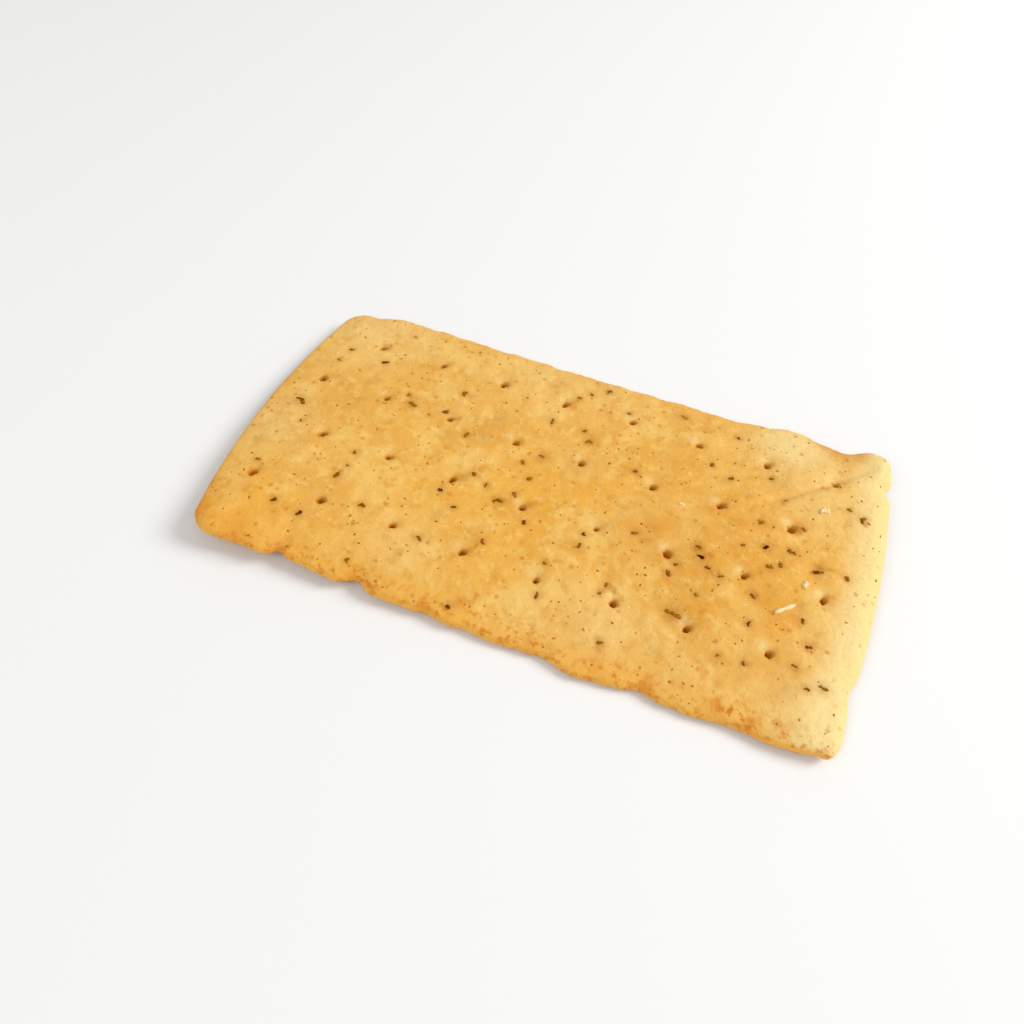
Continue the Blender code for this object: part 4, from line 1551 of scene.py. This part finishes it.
class CRACKER_OT_stage(bpy.types.Operator):
    """Make the floor, the studio light and the camera"""

    bl_idname = "cracker.stage"
    bl_label = "Set the stage"

    def execute(self, context):
        settings = context.scene.cracker_stage
        shape = bmesh.new()
        bmesh.ops.create_grid(shape, x_segments=1, y_segments=1, size=FLOOR_HALF)
        mesh = mesh_of("floor", shape)
        mesh.transform(Matrix.Translation((0.0, 0.0, -FLOOR_GAP * MM)))
        floor = link_object("floor", mesh)
        material, wire, shader, place = new_material("pale_floor", FLOOR_ROUGHNESS)
        cloud = wire.noise(place, *FLOOR_CLOUDS)
        dim = (*(FLOOR_DIMMING * channel for channel in settings.floor), 1.0)
        wire.fill(shader.inputs["Base Color"], wire.mix(cloud, (*settings.floor, 1.0), dim))
        shader.inputs["Specular IOR Level"].default_value = FLOOR_SHEEN
        mesh.materials.append(material)

        world = bpy.data.worlds.new("studio")
        world.use_nodes = True
        sky = world.node_tree.nodes["Background"]
        sky.inputs["Color"].default_value = (1.0, 1.0, 1.0, 1.0)
        sky.inputs["Strength"].default_value = settings.sky
        context.scene.world = world
        area_light("key", *KEY_LIGHT, settings.key)
        area_light("fill", *FILL_LIGHT, settings.fill)

        camera = bpy.data.cameras.new("view")
        camera.lens = CAMERA_LENS
        camera.sensor_width = CAMERA_SENSOR
        camera.clip_start = CAMERA_NEAREST * MM
        viewer = link_object("view", camera)
        right = np.array(CAMERA_RIGHT)
        up = -np.array(CAMERA_DOWN)
        back = np.cross(right, up)
        turn = Matrix(np.stack([right, up, back], axis=1).tolist()).to_4x4()
        place = Matrix.Translation([c * MM for c in CAMERA_PLACE])
        viewer.matrix_world = place @ turn
        context.scene.camera = viewer
        context.scene.view_settings.view_transform = "Standard"
        return {"FINISHED"}


class CRACKER_PT_sidebar(bpy.types.Panel):
    """Steps and settings of the cracker"""

    bl_idname = "CRACKER_PT_sidebar"
    bl_label = "Rosemary cracker"
    bl_space_type = "VIEW_3D"
    bl_region_type = "UI"
    bl_category = "Cracker"

    def draw(self, context):
        for step, group in STEPS:
            self.layout.operator(step)
            if group:
                settings = getattr(context.scene, group)
                for name in settings.__annotations__:
                    self.layout.prop(settings, name)


STEPS = (
    ("cracker.crust", "cracker_crust"),
    ("cracker.rosemary", "cracker_herb"),
    ("cracker.specks", None),
    ("cracker.crumbs", "cracker_crumb"),
    ("cracker.stage", "cracker_stage"),
)

GROUPS = {
    "cracker_crust": CrustSettings,
    "cracker_herb": HerbSettings,
    "cracker_crumb": CrumbSettings,
    "cracker_stage": StageSettings,
}

CLASSES = (
    *GROUPS.values(),
    CRACKER_OT_crust,
    CRACKER_OT_rosemary,
    CRACKER_OT_specks,
    CRACKER_OT_crumbs,
    CRACKER_OT_stage,
    CRACKER_PT_sidebar,
)


def register():
    """Add the classes and the scene's settings."""
    for item in CLASSES:
        bpy.utils.register_class(item)
    for name, group in GROUPS.items():
        setattr(bpy.types.Scene, name, PointerProperty(type=group))


def unregister():
    """Take the settings and the classes away."""
    for name in GROUPS:
        delattr(bpy.types.Scene, name)
    for item in reversed(CLASSES):
        bpy.utils.unregister_class(item)


def main():
    """Make every piece in order."""
    register()
    bpy.ops.cracker.crust()
    bpy.ops.cracker.rosemary()
    bpy.ops.cracker.specks()
    bpy.ops.cracker.crumbs()
    bpy.ops.cracker.stage()


if __name__ == "__main__":
    main()
